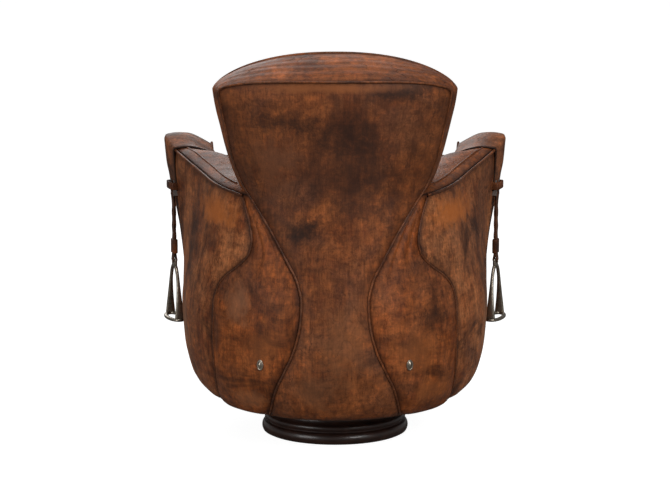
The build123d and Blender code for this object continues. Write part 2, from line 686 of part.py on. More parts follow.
def stirrup_iron():
    outside = [(0, -8.6), (15, -11), (0.6 * iron_half, -31), (0.85 * iron_half, -66), (0.98 * iron_half, -112),
               (iron_half, -iron_h)]
    inside = [(iron_half - 7, -iron_h), (iron_half - 8.5, -112), (0.85 * iron_half - 8, -71),
              (0.6 * iron_half - 7, -39), (11, -20.5), (0, -17.5)]
    out_edge = Edge.make_spline([(0, -u, z) for u, z in reversed(outside[1:])] + [(0, u, z) for u, z in outside])
    in_edge = Edge.make_spline([(0, u, z) for u, z in inside] + [(0, -u, z) for u, z in reversed(inside[:-1])])
    arch = extrude(Face(Wire([out_edge, Edge.make_line((0, iron_half, -iron_h), (0, iron_half - 7, -iron_h)), in_edge,
                              Edge.make_line((0, -iron_half + 7, -iron_h), (0, -iron_half, -iron_h))])),
                   15, dir=(1, 0, 0), both=True)
    sides = prism_xz([(-4, 0), (-4, -40), (-5.2, -70), (-9, -110), (-13, -iron_h + 10), (-13, -iron_h),
                      (13, -iron_h), (13, -iron_h + 10), (9, -110), (5.2, -70), (4, -40), (4, 0)], -80, 80)
    eye = (box(-4, 4, ear_in, ear_in + 4.6, -14, 2.6) + box(-4, 4, -ear_in - 4.6, -ear_in, -14, 2.6)
           + box(-4, 4, -ear_in - 4.6, ear_in + 4.6, -16, -9)
           + rod(ear_in + 2))
    tread = Pos(0, 0, -iron_h + tread_t / 2) * (
        extrude(Ellipse(25, iron_half + 3), tread_t / 2, both=True) - extrude(Ellipse(15.5, iron_half - 12), tread_t, both=True))
    return eye_frame * ((arch & sides) + eye + tread)


hangers = both_sides(hanger)
keepers = both_sides(keeper_strip)
leathers = both_sides(stirrup_leather)
leather_keepers = both_sides(leather_keeper)
irons = both_sides(stirrup_iron)

dust_cover = (form(levels[:5], -pad_t - 2) & box(-500, 500, -500, 500, board_z - 1.0, board_z)) \
    - Pos(0, 0, board_z) * Box(plate_side + 27, plate_side + 27, 10)

# ---- write every node ----------------------------------------------------
save("base_felt", felt)
save("base_plinth", base_plinth)
save("base_core", base_core)
save("base_collar", base_collar)
save("swivel_lower_plate", lower_plate)
save("lower_plate_screws", group(*lower_screws))
save("swivel_pivot", swivel_pivot)
save("ball_cage", cage)
save("swivel_balls", balls)
save("swivel_upper_plate", upper_plate)
save("upper_plate_screws", group(*upper_screws))
save("mount_block", mount_block)
save("bottom_board", bottom_board)
save("dust_cover", dust_cover)
save("front_rail", front_rail)
save("back_rail", back_rail)
save("seat_ring", seat_ring)
save("crest_rail", crest_rail)
save("lumbar_rail", lumbar_rail)
save("seat_springs", group(*seat_springs))
save("spring_clips", group(*spring_clips))
save("deck_pad", deck_pad)
save("seat_cushion", seat_cushion)
save("tub_pad", tub_pad)
save("back_pad", back_pad)
save("back_panel", back_panel)
save("back_piping", back_piping)
save("front_apron", front_apron)
pairs = {"side_rail": side_rails, "front_post": front_posts, "back_post": back_posts, "arm_rail": arm_rails,
         "arm_pad": arm_pads, "side_back_panel": side_back_panels, "flap": flaps, "flap_piping": flap_piping,
         "arm_top": arm_tops, "arm_band": arm_bands, "strap_hanger": hangers, "band_keeper": keepers,
         "saddle_stud": studs, "stirrup_leather": leathers, "leather_keeper": leather_keepers,
         "stirrup_iron": irons}
for name, pair in pairs.items():
    save(name + "_left", pair["left"])
    save(name + "_right", pair["right"])
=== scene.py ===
import json
import math
import bpy
import numpy as np
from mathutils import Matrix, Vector, noise

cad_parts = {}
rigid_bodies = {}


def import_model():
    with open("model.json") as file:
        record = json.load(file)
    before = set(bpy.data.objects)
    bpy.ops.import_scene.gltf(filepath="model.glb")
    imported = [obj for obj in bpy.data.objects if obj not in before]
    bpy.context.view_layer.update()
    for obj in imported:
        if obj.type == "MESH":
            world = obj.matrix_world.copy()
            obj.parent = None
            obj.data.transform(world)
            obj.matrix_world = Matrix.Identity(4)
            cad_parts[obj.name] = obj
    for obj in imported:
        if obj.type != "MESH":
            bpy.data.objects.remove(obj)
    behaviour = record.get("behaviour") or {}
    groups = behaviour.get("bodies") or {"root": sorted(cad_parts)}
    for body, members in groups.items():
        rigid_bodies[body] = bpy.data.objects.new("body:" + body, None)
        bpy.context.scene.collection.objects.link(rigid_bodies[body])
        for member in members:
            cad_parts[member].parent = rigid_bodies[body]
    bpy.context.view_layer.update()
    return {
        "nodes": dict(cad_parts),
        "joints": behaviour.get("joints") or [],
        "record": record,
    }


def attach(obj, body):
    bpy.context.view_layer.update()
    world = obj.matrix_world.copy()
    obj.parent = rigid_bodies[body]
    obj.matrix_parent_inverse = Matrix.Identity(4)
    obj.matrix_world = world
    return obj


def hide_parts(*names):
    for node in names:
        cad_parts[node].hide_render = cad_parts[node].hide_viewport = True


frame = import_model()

scene = bpy.context.scene
nodes = frame["nodes"]
for each in bpy.data.objects:
    each.select_set(False)


# the chair's outer form, in metres, the same as the frame's
shell = {
    "sideY": 0.080, "frontY": -0.250, "hem": 0.0955,
    # height, rear, side, side at the front corner, flare, front
    "outer": [(0.0955, 0.311, 0.252, 0.272, 0.0, 0.340), (0.1105, 0.338, 0.290, 0.310, 0.0, 0.364),
              (0.1505, 0.357, 0.322, 0.340, 0.0, 0.383), (0.2205, 0.367, 0.338, 0.357, 0.0, 0.392),
              (0.300, 0.368, 0.342, 0.366, 0.0, 0.392), (0.450, 0.355, 0.318, 0.380, 0.18, 0.392),
              (0.613, 0.350, 0.294, 0.404, 0.38, 0.392), (0.698, 0.356, 0.330, 0.412, 0.38, 0.392),
              (0.850, 0.372, 0.400, 0.430, 0.3, 0.392), (0.946, 0.378, 0.425, 0.440, 0.3, 0.392)],
    "room": [(0.2995, 0.320, 0.240, 0.264, 0.0, 0.482), (0.450, 0.320, 0.216, 0.278, 0.18, 0.482),
             (0.613, 0.320, 0.190, 0.300, 0.38, 0.482), (0.728, 0.320, 0.198, 0.310, 0.38, 0.482)],
    "backRoom": [(0.2995, 0.176, 0.372, 0.400, 0.0, 0.482), (0.553, 0.182, 0.372, 0.400, 0.0, 0.482),
                 (0.832, 0.196, 0.372, 0.400, 0.0, 0.482), (0.972, 0.214, 0.372, 0.400, 0.0, 0.482)],
    "fan": [(0.0955, 0.152), (0.166, 0.137), (0.212, 0.117), (0.271, 0.092), (0.329, 0.079), (0.375, 0.076),
            (0.421, 0.085), (0.469, 0.109), (0.538, 0.147), (0.589, 0.180), (0.639, 0.213), (0.699, 0.234),
            (0.760, 0.247), (0.849, 0.264), (1.02, 0.276)],
    "flap": [(0.0955, 0.262), (0.132, 0.273), (0.199, 0.281), (0.282, 0.283), (0.349, 0.281),
             (0.388, 0.272),
             (0.416, 0.255), (0.447, 0.222), (0.478, 0.197), (0.509, 0.190), (0.551, 0.196),
             (0.613, 0.214)],
}


def smoothRow(rows, z):
    # smooth curve through the rows, read at a height
    z = min(max(z, rows[0][0]), rows[-1][0])
    for i in range(len(rows) - 1):
        if z <= rows[i + 1][0]:
            break
    a, b = rows[i], rows[i + 1]
    h = b[0] - a[0]
    s = (z - a[0]) / h
    out = []
    for k in range(1, len(a)):
        here = (b[k] - a[k]) / h
        before = (a[k] - rows[i - 1][k]) / (a[0] - rows[i - 1][0]) if i > 0 else here
        after = (rows[i + 2][k] - b[k]) / (rows[i + 2][0] - b[0]) if i + 2 < len(rows) else here
        m0 = 2 * before * here / (before + here) if before * here > 0 else 0.0
        m1 = 2 * here * after / (here + after) if here * after > 0 else 0.0
        if i == 0:
            m0 = here
        if i + 2 >= len(rows):
            m1 = here
        out.append((1 + 2 * s) * (1 - s) ** 2 * a[k] + s * (1 - s) ** 2 * h * m0
                   + s * s * (3 - 2 * s) * b[k] + s * s * (s - 1) * h * m1)
    return out


def halfCurves(rows, z, grow=0.0):
    rear, side, corner, flare, front = smoothRow(rows, z)
    rear, side, corner, front = rear + grow, side + grow, corner + grow, -front - grow
    sideY, frontY = shell["sideY"], shell["frontY"]
    reach, turn = (sideY - frontY) / 3, 0.72 * (frontY - front)
    first = [(0, rear), (0.58 * side, rear),
             (side - 0.1404 * (rear - sideY), sideY + 0.52 * (rear - sideY)), (side, sideY)]
    second = [first[3], (side + 0.27 * reach, sideY - reach), (corner - flare * reach, frontY + reach),
              (corner, frontY)]
    third = [second[3], (corner + flare * turn, frontY - turn), (0.68 * corner, front), (0, front)]
    return [first, second, third]


def onCurve(curve, t):
    s = 1 - t
    w = (s ** 3, 3 * s * s * t, 3 * s * t * t, t ** 3)
    return sum(a * p[0] for a, p in zip(w, curve)), sum(a * p[1] for a, p in zip(w, curve))


def skinPoint(t, z, rows="outer", grow=0.0):
    # t runs 0 at the rear middle, 1 and 2 at the side's ends, 3 at the front middle
    k = min(int(t), 2)
    return onCurve(halfCurves(shell[rows], z, grow)[k], t - k)


def rearY(x, z, rows="outer", grow=0.0):
    curve = halfCurves(shell[rows], z, grow)[0]
    low, high = 0.0, 1.0
    for _ in range(26):
        t = (low + high) / 2
        low, high = (t, high) if onCurve(curve, t)[0] < abs(x) else (low, t)
    return onCurve(curve, low)[1]


def rearT(x, z):
    curve = halfCurves(shell["outer"], z)[0]
    low, high = 0.0, 1.0
    for _ in range(26):
        t = (low + high) / 2
        low, high = (t, high) if onCurve(curve, t)[0] < abs(x) else (low, t)
    return low


def sideX(y, z, rows="outer", grow=0.0):
    for curve in halfCurves(shell[rows], z, grow):
        if curve[0][1] >= y >= curve[3][1]:
            low, high = 0.0, 1.0
            for _ in range(26):
                t = (low + high) / 2
                low, high = (t, high) if onCurve(curve, t)[1] > y else (low, t)
            return onCurve(curve, low)[0]
    return 0.0


def fanHalf(z):
    return smoothRow(shell["fan"], z)[0]


def flapEdge(z):
    return smoothRow(shell["flap"], z)[0]


armLine = [(-0.400, 0.592), (-0.378, 0.622), (-0.365, 0.6390), (-0.350, 0.6620), (-0.330, 0.6800),
           (-0.290, 0.6790), (-0.210, 0.6570),
           (-0.130, 0.6450), (0.040, 0.6262), (0.170, 0.616), (0.290, 0.606)]


def armTop(y):
    # the arm's outer top edge, from the back to the pommel
    return smoothRow(armLine, y)[0]


def fanTop(u):
    return 0.850 + 0.030 * max(0.0, 1 - abs(u) ** 4) ** 0.6


def crestFront(u):
    return 0.846 + 0.085 * max(0.0, 1 - abs(u) ** 2.2) ** 0.70


def frontHalf(z):
    return fanHalf(min(z, 0.86)) + 0.004 + 0.010 * min(1.0, max(0.0, (z - 0.58) / 0.22))


# mesh helpers
def newMesh(name, verts, faces, uvs=None):
    mesh = bpy.data.meshes.new(name)
    mesh.from_pydata([tuple(v) for v in verts], [], faces)
    mesh.update()
    obj = bpy.data.objects.new(name, mesh)
    scene.collection.objects.link(obj)
    if uvs is not None:
        layer = mesh.uv_layers.new(name="UVMap")
        for loop in mesh.loops:
            layer.data[loop.index].uv = uvs[loop.vertex_index]
    mesh.polygons.foreach_set("use_smooth", [True] * len(mesh.polygons))
    return obj


def gridNormals(p):
    du = np.gradient(p, axis=0)
    dv = np.gradient(p, axis=1)
    n = np.cross(du, dv)
    n /= np.maximum(np.linalg.norm(n, axis=2, keepdims=True), 1e-9)
    return n


def edgeRamp(p, seams, reach):
    # 0 at the sewn edges, rising to 1 inside
    du = np.linalg.norm(np.diff(p, axis=0), axis=2)
    dv = np.linalg.norm(np.diff(p, axis=1), axis=2)
    su = np.vstack([np.zeros((1, p.shape[1])), np.cumsum(du, axis=0)])
    sv = np.hstack([np.zeros((p.shape[0], 1)), np.cumsum(dv, axis=1)])
    far = np.full(p.shape[:2], 1.0)
    for flag, dist in zip(seams, (su, su[-1:] - su, sv, sv[:, -1:] - sv)):
        if flag:
            far = far * (1 - np.exp(-dist / reach))
    return far, su, sv


def ripple(p, size, scale, seed, stretch=(1, 1, 1)):
    out = np.zeros(p.shape[:2])
    for i in range(p.shape[0]):
        for j in range(p.shape[1]):
            q = p[i, j]
            out[i, j] = noise.fractal(Vector((q[0] * scale * stretch[0] + seed, q[1] * scale * stretch[1],
                                              q[2] * scale * stretch[2])), 0.9, 2.1, 3)
    return out * size


def hidePanel(name, p, outward, puff=0.006, lift=0.001, seams=(1, 1, 1, 1), reach=0.016, thick=0.004,
              extra=None, wave=0.0012, seed=1.0):
    # a padded leather panel: raised in the middle, drawn down to its seams, closed behind
    p = np.array(p, float)
    n = gridNormals(p) * outward
    ramp, su, sv = edgeRamp(p, seams, reach)
    d = lift + puff * ramp + ripple(p, wave, 9.0, seed, (1, 1, 0.6)) * ramp
    if extra is not None:
        d = d + extra
    outer = p + n * d[..., None]
    inner = p - n * (thick - lift)
    ni, nj = p.shape[:2]
    verts = np.vstack([outer.reshape(-1, 3), inner.reshape(-1, 3)])
    base = ni * nj
    faces = []
    for i in range(ni - 1):
        for j in range(nj - 1):
            a, b, c, e = i * nj + j, (i + 1) * nj + j, (i + 1) * nj + j + 1, i * nj + j + 1
            faces.append((a, b, c, e) if outward > 0 else (a, e, c, b))
            faces.append((a + base, e + base, c + base, b + base) if outward > 0 else (a + base, b + base,
                    c + base, e + base))
    rim = [i * nj for i in range(ni)] + [(ni - 1) * nj + j for j in range(1, nj)] \
        + [i * nj + nj - 1 for i in range(ni - 2, -1, -1)] + [j for j in range(nj - 2, 0, -1)]
    for a, b in zip(rim, rim[1:] + rim[:1]):
        faces.append((a, a + base, b + base, b) if outward > 0 else (a, b, b + base, a + base))
    uv = [(float(x), float(y)) for x, y in zip(su.ravel(), sv.ravel())]
    obj = newMesh(name, verts, faces, uv + uv)
    # the seam attribute is 1 at the sewn edges and fades out within a few mm; the hide material paints
    # shade from it
    near, _, _ = edgeRamp(p, seams, 0.006)
    seam = obj.data.attributes.new("seam", "FLOAT", "POINT")
    values = (1 - near.ravel()).tolist() + [1.0] * base
    seam.data.foreach_set("value", values)
    return obj


def mirrored(p):
    q = np.array(p, float)
    q[..., 0] *= -1
    return q


def tube(name, points, radius, closed=False, sides=10):
    # a cord or bead laid along points, its open ends capped flat
    pts = [Vector(p) for p in points]
    count = len(pts)
    verts, faces, uvs = [], [], []
    up = None
    along = 0.0
    for i, p in enumerate(pts):
        a = pts[(i - 1) % count] if closed or i > 0 else p
        b = pts[(i + 1) % count] if closed or i < count - 1 else p
        t = (b - a).normalized()
        if up is None:
            up = t.orthogonal().normalized()
        up = (up - t * up.dot(t)).normalized()
        side = t.cross(up)
        if i > 0:
            along += (p - pts[i - 1]).length
        r = radius if not callable(radius) else radius(i / max(1, count - 1))
        for k in range(sides):
            w = 2 * math.pi * k / sides
            verts.append(p + up * (math.cos(w) * r) + side * (math.sin(w) * r))
            uvs.append((along, k / sides))
    for i in range(count if closed else count - 1):
        j = (i + 1) % count
        for k in range(sides):
            m = (k + 1) % sides
            faces.append((i * sides + k, i * sides + m, j * sides + m, j * sides + k))
    if not closed:
        faces.append(tuple(range(sides - 1, -1, -1)))
        faces.append(tuple((count - 1) * sides + k for k in range(sides)))
    return newMesh(name, verts, faces, uvs)


def resample(points, step):
    pts = [Vector(p) for p in points]
    out, rest = [pts[0]], step
    for a, b in zip(pts, pts[1:]):
        length = (b - a).length
        if length < 1e-9:
            continue
        while rest <= length:
            out.append(a.lerp(b, rest / length))
            rest += step
        rest -= length
    out.append(pts[-1])
    if (out[-1] - out[-2]).length < step * 0.3:
        out.pop(-2)
    return out


def finishPiece(obj, body, material, replaced=()):
    obj.data.materials.clear()
    obj.data.materials.append(material)
    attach(obj, body)
    if replaced:
        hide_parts(*replaced)
    return obj


# materials
def socket(tree, name, kind, default, output=False):
    s = tree.interface.new_socket(name=name, in_out="OUTPUT" if output else "INPUT", socket_type=kind)
    if default is not None:
        s.default_value = default
    return s


def link(tree, a, b):
    tree.links.new(a, b)


def mathNode(tree, op, a, b=None, clamp=False):
    n = tree.nodes.new("ShaderNodeMath")
    n.operation = op
    n.use_clamp = clamp
    for k, v in enumerate((a, b)):
        if v is None:
            continue
        if isinstance(v, (int, float)):
            n.inputs[k].default_value = v
        else:
            link(tree, v, n.inputs[k])
    return n.outputs[0]


def times(tree, a, b, clamp=False):
    return mathNode(tree, "MULTIPLY", a, b, clamp)


def plus(tree, a, b):
    return mathNode(tree, "ADD", a, b)


def noiseNode(tree, vector, scale, detail=5.0, rough=0.55, distort=0.0):
    n = tree.nodes.new("ShaderNodeTexNoise")
    n.inputs["Scale"].default_value = scale
    n.inputs["Detail"].default_value = detail
    n.inputs["Roughness"].default_value = rough
    n.inputs["Distortion"].default_value = distort
    link(tree, vector, n.inputs["Vector"])
    return n.outputs["Fac"]


def rampNode(tree, fac, stops):
    n = tree.nodes.new("ShaderNodeValToRGB")
    while len(n.color_ramp.elements) < len(stops):
        n.color_ramp.elements.new(0.5)
    for e, (pos, col) in zip(n.color_ramp.elements, stops):
        e.position = pos
        e.color = (*col, 1) if len(col) == 3 else col
    link(tree, fac, n.inputs[0])
    return n.outputs[0]


def mixColor(tree, fac, a, b, kind="MIX"):
    n = tree.nodes.new("ShaderNodeMix")
    n.data_type = "RGBA"
    n.blend_type = kind
    for s, v in ((0, fac), (6, a), (7, b)):
        if isinstance(v, (int, float)):
            n.inputs[s].default_value = v
        elif isinstance(v, tuple):
            n.inputs[s].default_value = (*v, 1)
        else:
            link(tree, v, n.inputs[s])
    return n.outputs[2]


def mapping(tree, vector, scale):
    n = tree.nodes.new("ShaderNodeMapping")
    n.inputs["Scale"].default_value = scale
    link(tree, vector, n.inputs["Vector"])
    return n.outputs[0]


def hideGroup():
    # worn saddle leather: patches, streaks, scratches and pebble, with painted shade along the sewn seams
    tree = bpy.data.node_groups.new("wornHideWithSeamShade", "ShaderNodeTree")
    for name, value in (("Deep", (0.02, 0.008, 0.004, 1)), ("Body", (0.12, 0.04, 0.015, 1)),
                        ("Worn", (0.30, 0.11, 0.04, 1))):
        socket(tree, name, "NodeSocketColor", value)
    for name, value in (("Wear", 0.5), ("Patches", 0.5), ("Scratches", 0.5), ("Shift", 0.0), ("Seam", 0.0)):
        socket(tree, name, "NodeSocketFloat", value)
    socket(tree, "Turn", "NodeSocketVector", (0, 0, 0))
    socket(tree, "Color", "NodeSocketColor", None, True)
    socket(tree, "Rough", "NodeSocketFloat", None, True)
    socket(tree, "Height", "NodeSocketFloat", None, True)
    ins = tree.nodes.new("NodeGroupInput")
    outs = tree.nodes.new("NodeGroupOutput")
    coord = tree.nodes.new("ShaderNodeTexCoord").outputs["Object"]
    shift = tree.nodes.new("ShaderNodeVectorMath")
    shift.operation = "ADD"
    turned = tree.nodes.new("ShaderNodeVectorRotate")
    turned.rotation_type = "EULER_XYZ"
    link(tree, coord, turned.inputs["Vector"])
    link(tree, ins.outputs["Turn"], turned.inputs["Rotation"])
    link(tree, turned.outputs[0], shift.inputs[0])
    link(tree, ins.outputs["Shift"], shift.inputs[1])
    at = shift.outputs[0]
    big = noiseNode(tree, at, 5.0, 7, 0.62, 0.5)
    cloud = noiseNode(tree, at, 17.0, 9, 0.72, 0.5)
    mottle = noiseNode(tree, at, 70.0, 8, 0.78, 0.6)
    streak = noiseNode(tree, mapping(tree, at, (36, 36, 5.5)), 1.0, 8, 0.72, 0.9)
    fineStreak = noiseNode(tree, mapping(tree, at, (170, 170, 20)), 1.0, 6, 0.75, 0.3)
    cross = noiseNode(tree, mapping(tree, at, (18, 18, 90)), 1.0, 6, 0.7, 0.4)
    blend = plus(tree, times(tree, big, 0.50), times(tree, cloud, 0.50))
    blend = plus(tree, times(tree, blend, 0.70), times(tree, streak, 0.30))
    wearMask = rampNode(tree, blend, [(0.43, (0, 0, 0)), (0.57, (1, 1, 1))])
    wearMask = times(tree, wearMask, times(tree, ins.outputs["Wear"], 1.7), True)
    col = mixColor(tree, wearMask, ins.outputs["Body"], ins.outputs["Worn"])
    dull = rampNode(tree, noiseNode(tree, at, 6.1, 6, 0.6, 0.7), [(0.46, (0, 0, 0)), (0.62, (1, 1, 1))])
    col = mixColor(tree, times(tree, dull, 0.40), col, (0.075, 0.040, 0.027))
    darkMask = rampNode(tree, plus(tree, times(tree, noiseNode(tree, at, 8.3, 9, 0.68, 1.0), 0.75),
                                   times(tree, mottle, 0.25)),
                        [(0.50, (0, 0, 0)), (0.60, (1, 1, 1))])
    col = mixColor(tree, times(tree, darkMask, ins.outputs["Patches"], True), col, ins.outputs["Deep"])
    speck = rampNode(tree, fineStreak, [(0.30, (0.42, 0.37, 0.33)), (0.5, (1, 1, 1)),
                                        (0.70, (1.55, 1.42, 1.30))])
    col = mixColor(tree, 0.7, col, speck, "MULTIPLY")
    fleck = rampNode(tree, mottle, [(0.34, (0.34, 0.30, 0.28)), (0.5, (1, 1, 1)),
                                    (0.68, (1.9, 1.65, 1.45))])
    col = mixColor(tree, 0.75, col, fleck, "MULTIPLY")
    fleck = rampNode(tree, cross, [(0.32, (0.55, 0.50, 0.46)), (0.5, (1, 1, 1)), (0.70, (1.5, 1.38, 1.26))])
    col = mixColor(tree, 0.5, col, fleck, "MULTIPLY")
    wrinkle = tree.nodes.new("ShaderNodeTexVoronoi")
    wrinkle.feature = "DISTANCE_TO_EDGE"
    wrinkle.inputs["Scale"].default_value = 1.0
    warped = tree.nodes.new("ShaderNodeVectorMath")
    warped.operation = "ADD"
    link(tree, mapping(tree, at, (30, 30, 11)), warped.inputs[0])
    link(tree, noiseNode(tree, at, 22, 4, 0.6), warped.inputs[1])
    link(tree, warped.outputs[0], wrinkle.inputs["Vector"])
    crease = rampNode(tree, wrinkle.outputs["Distance"], [(0.0, (0, 0, 0)), (0.035, (1, 1, 1))])
    creaseOn = times(tree, rampNode(tree, noiseNode(tree, at, 6.0, 3),
                                    [(0.52, (0, 0, 0)), (0.62, (1, 1, 1))]), ins.outputs["Scratches"])
    creaseCut = times(tree, mathNode(tree, "SUBTRACT", 1.0, crease), creaseOn, True)
    col = mixColor(tree, times(tree, creaseCut, 0.55), col, ins.outputs["Deep"])
    scratch = rampNode(tree, noiseNode(tree, mapping(tree, at, (260, 260, 7)), 1.0, 3, 0.5, 1.2),
                       [(0.66, (0, 0, 0)), (0.74, (1, 1, 1))])
    col = mixColor(tree, times(tree, scratch, times(tree, ins.outputs["Scratches"], 0.5)), col,
                   ins.outputs["Deep"])
    pebble = tree.nodes.new("ShaderNodeTexVoronoi")
    pebble.inputs["Scale"].default_value = 620
    link(tree, at, pebble.inputs["Vector"])
    height = plus(tree, times(tree, pebble.outputs["Distance"], 0.10), times(tree, cloud, 0.55))
    height = plus(tree, height, times(tree, streak, 0.30))
    height = mathNode(tree, "SUBTRACT", height, times(tree, creaseCut, 0.35))
    height = mathNode(tree, "SUBTRACT", height, times(tree, scratch, 0.08))
    rough = plus(tree, times(tree, cloud, 0.40), 0.36)
    rough = plus(tree, rough, times(tree, creaseCut, 0.2))
    # painted shade: close to each sewn seam the colour is pulled almost fully to Deep, standing in for the
    # shade in the grooves between panels
    seamShade = times(tree, mathNode(tree, "POWER", ins.outputs["Seam"], 0.8), 0.96, True)
    col = mixColor(tree, seamShade, col, ins.outputs["Deep"])
    link(tree, col, outs.inputs["Color"])
    link(tree, rough, outs.inputs["Rough"])
    link(tree, height, outs.inputs["Height"])
    return tree


wornHideWithSeamShade = hideGroup()


def hideMaterial(name, deep, body, worn, wear, patches, scratches, shift, bump=0.45, coat=0.0, stainsAndHighlights=(),
                 turn=(0, 0, 0)):
    m = bpy.data.materials.new(name)
    m.use_nodes = True
    tree = m.node_tree
    shader = tree.nodes["Principled BSDF"]
    g = tree.nodes.new("ShaderNodeGroup")
    g.node_tree = wornHideWithSeamShade
    for k, v in (("Deep", deep), ("Body", body), ("Worn", worn)):
        g.inputs[k].default_value = (*v, 1)
    for k, v in (("Wear", wear), ("Patches", patches), ("Scratches", scratches), ("Shift", shift)):
        g.inputs[k].default_value = v
    g.inputs["Turn"].default_value = turn
    # the seam attribute feeds the group's painted shade along the seams
    near = tree.nodes.new("ShaderNodeAttribute")
    near.attribute_name = "seam"
    link(tree, near.outputs["Fac"], g.inputs["Seam"])
    col = g.outputs["Color"]
    at = tree.nodes.new("ShaderNodeTexCoord").outputs["Object"]
    rag = tree.nodes.new("ShaderNodeTexNoise")
    rag.inputs["Scale"].default_value = 26
    rag.inputs["Detail"].default_value = 7
    rag.inputs["Roughness"].default_value = 0.72
    link(tree, at, rag.inputs["Vector"])
    for (x, y, z), (rx, ry, rz), tone, amount in stainsAndHighlights:
        # a soft ragged patch at a place on the piece; most are stains, and the bright orange patch high on
        # each flap is a painted highlight
        m1 = tree.nodes.new("ShaderNodeMapping")
        m1.vector_type = "TEXTURE"
        m1.inputs["Location"].default_value = (x, y, z)
        m1.inputs["Scale"].default_value = (rx, ry, rz)
        link(tree, at, m1.inputs["Vector"])
        length = tree.nodes.new("ShaderNodeVectorMath")
        length.operation = "LENGTH"
        link(tree, m1.outputs[0], length.inputs[0])
        d = plus(tree, length.outputs["Value"],
                 times(tree, mathNode(tree, "SUBTRACT", rag.outputs["Fac"], 0.5), 2.4))
        fade = mathNode(tree, "SUBTRACT", 1.0, d, True)
        fade = times(tree, mathNode(tree, "SMOOTH_MIN", fade, 0.7), amount * 1.4, True)
        col = mixColor(tree, fade, col, tone)
    link(tree, col, shader.inputs["Base Color"])
    link(tree, g.outputs["Rough"], shader.inputs["Roughness"])
    b = tree.nodes.new("ShaderNodeBump")
    b.inputs["Strength"].default_value = bump
    b.inputs["Distance"].default_value = 0.004
    link(tree, g.outputs["Height"], b.inputs["Height"])
    link(tree, b.outputs[0], shader.inputs["Normal"])
    shader.inputs["Coat Weight"].default_value = coat
    shader.inputs["Coat Roughness"].default_value = 0.32
    shader.inputs["Specular IOR Level"].default_value = 0.16
    return m


deepTone, tanTone, blackTone = (0.016, 0.007, 0.005), (0.22, 0.070, 0.020), (0.008, 0.004, 0.003)
fanStains = [((0.0, 0.35, 0.72), (0.42, 1, 0.26), (0.060, 0.0200, 0.0085), 0.50),
             ((0.11, 0.33, 0.79), (0.09, 1, 0.030), blackTone, 0.75),
             ((-0.03, 0.35, 0.765), (0.10, 1, 0.055), blackTone, 0.65),
             ((-0.15, 0.33, 0.855), (0.085, 1, 0.022), blackTone, 0.80),
             ((0.075, 0.35, 0.535), (0.045, 1, 0.038), blackTone, 0.85),
             ((-0.03, 0.35, 0.66), (0.14, 1, 0.12), deepTone, 0.55),
             ((0.02, 0.36, 0.868), (0.20, 1, 0.016), tanTone, 0.7),
             ((0.14, 0.33, 0.69), (0.06, 1, 0.09), (0.15, 0.055, 0.024), 0.5),
             ((-0.02, 0.36, 0.28), (0.07, 1, 0.11), (0.20, 0.075, 0.028), 0.45),
             ((0.05, 0.36, 0.17), (0.06, 1, 0.05), (0.20, 0.080, 0.035), 0.4)]
# flaps: the first, bright orange patch high on each flap just under the arm's edge is a painted highlight;
# the other, lighter and darker patches are stains
flapStainsAndHighlights = [((s * 0.29, 0.16, 0.560), (0.10, 0.16, 0.045), (0.42, 0.120, 0.024), 0.85) for s in (1, -1)] \
    + [((s * 0.35, 0.0, 0.25), (0.05, 0.07, 0.10), (0.26, 0.120, 0.060), 0.6) for s in (1, -1)] \
    + [((s * 0.33, 0.0, 0.40), (0.05, 0.05, 0.16), deepTone, 0.6) for s in (1, -1)]
sideStains = [((0.225, 0.28, 0.36), (0.035, 1, 0.055), (0.25, 0.105, 0.050), 0.55),
              ((0.20, 0.3, 0.14), (0.05, 1, 0.030), (0.26, 0.11, 0.05), 0.5),
              ((-0.22, 0.28, 0.33), (0.04, 1, 0.05), blackTone, 0.6),
              ((-0.19, 0.3, 0.26), (0.07, 1, 0.05), tanTone, 0.55),
              ((-0.22, 0.28, 0.16), (0.06, 1, 0.035), tanTone, 0.6),
              ((0.17, 0.3, 0.26), (0.05, 1, 0.05), tanTone, 0.4)]
onTop, alongArm = (0, math.pi / 2, 0), (math.pi / 2, 0, 0)
hides = {
    "fan": hideMaterial("fanHide", (0.014, 0.006, 0.004), (0.098, 0.0270, 0.0080), (0.250, 0.078, 0.022),
                        0.50, 0.55, 0.8, 0.0, stainsAndHighlights=fanStains),
    "side": hideMaterial("sideHide", (0.014, 0.005, 0.003), (0.115, 0.0280, 0.0060), (0.300, 0.088, 0.022),
                         0.55, 0.60, 0.9, 2.3, stainsAndHighlights=sideStains),
    "flap": hideMaterial("flapHide", (0.014, 0.005, 0.003), (0.135, 0.0370, 0.0110), (0.400, 0.150, 0.056),
                         0.50, 0.70, 1.0, 5.1, stainsAndHighlights=flapStainsAndHighlights),
    "arm": hideMaterial("armHide", (0.014, 0.005, 0.003), (0.130, 0.0360, 0.0090), (0.330, 0.100, 0.026),
                        0.55, 0.55, 0.9, 7.7, turn=alongArm),
    "crest": hideMaterial("crestHide", (0.016, 0.006, 0.003), (0.105, 0.0280, 0.0070),
                          (0.260, 0.078, 0.020), 0.6, 0.55, 0.9, 7.7, turn=onTop),
    "seat": hideMaterial("seatHide", (0.014, 0.006, 0.003), (0.115, 0.0340, 0.0100), (0.290, 0.092, 0.028),
                         0.7, 0.5, 0.9, 3.9),
    "edge": hideMaterial("edgeHide", (0.010, 0.004, 0.003), (0.055, 0.0170, 0.0060), (0.190, 0.060, 0.019),
                         0.5, 0.6, 0.3, 1.2, 0.2, 0.06),
    "strap": hideMaterial("strapHide", (0.008, 0.004, 0.002), (0.040, 0.0140, 0.0060),
                          (0.120, 0.044, 0.018), 0.5, 0.4, 0.6, 9.4, 0.25, 0.05),
    "band": hideMaterial("bandHide", (0.012, 0.005, 0.003), (0.115, 0.0380, 0.0150), (0.270, 0.100, 0.042),
                         0.55, 0.6, 0.9, 6.3),
}


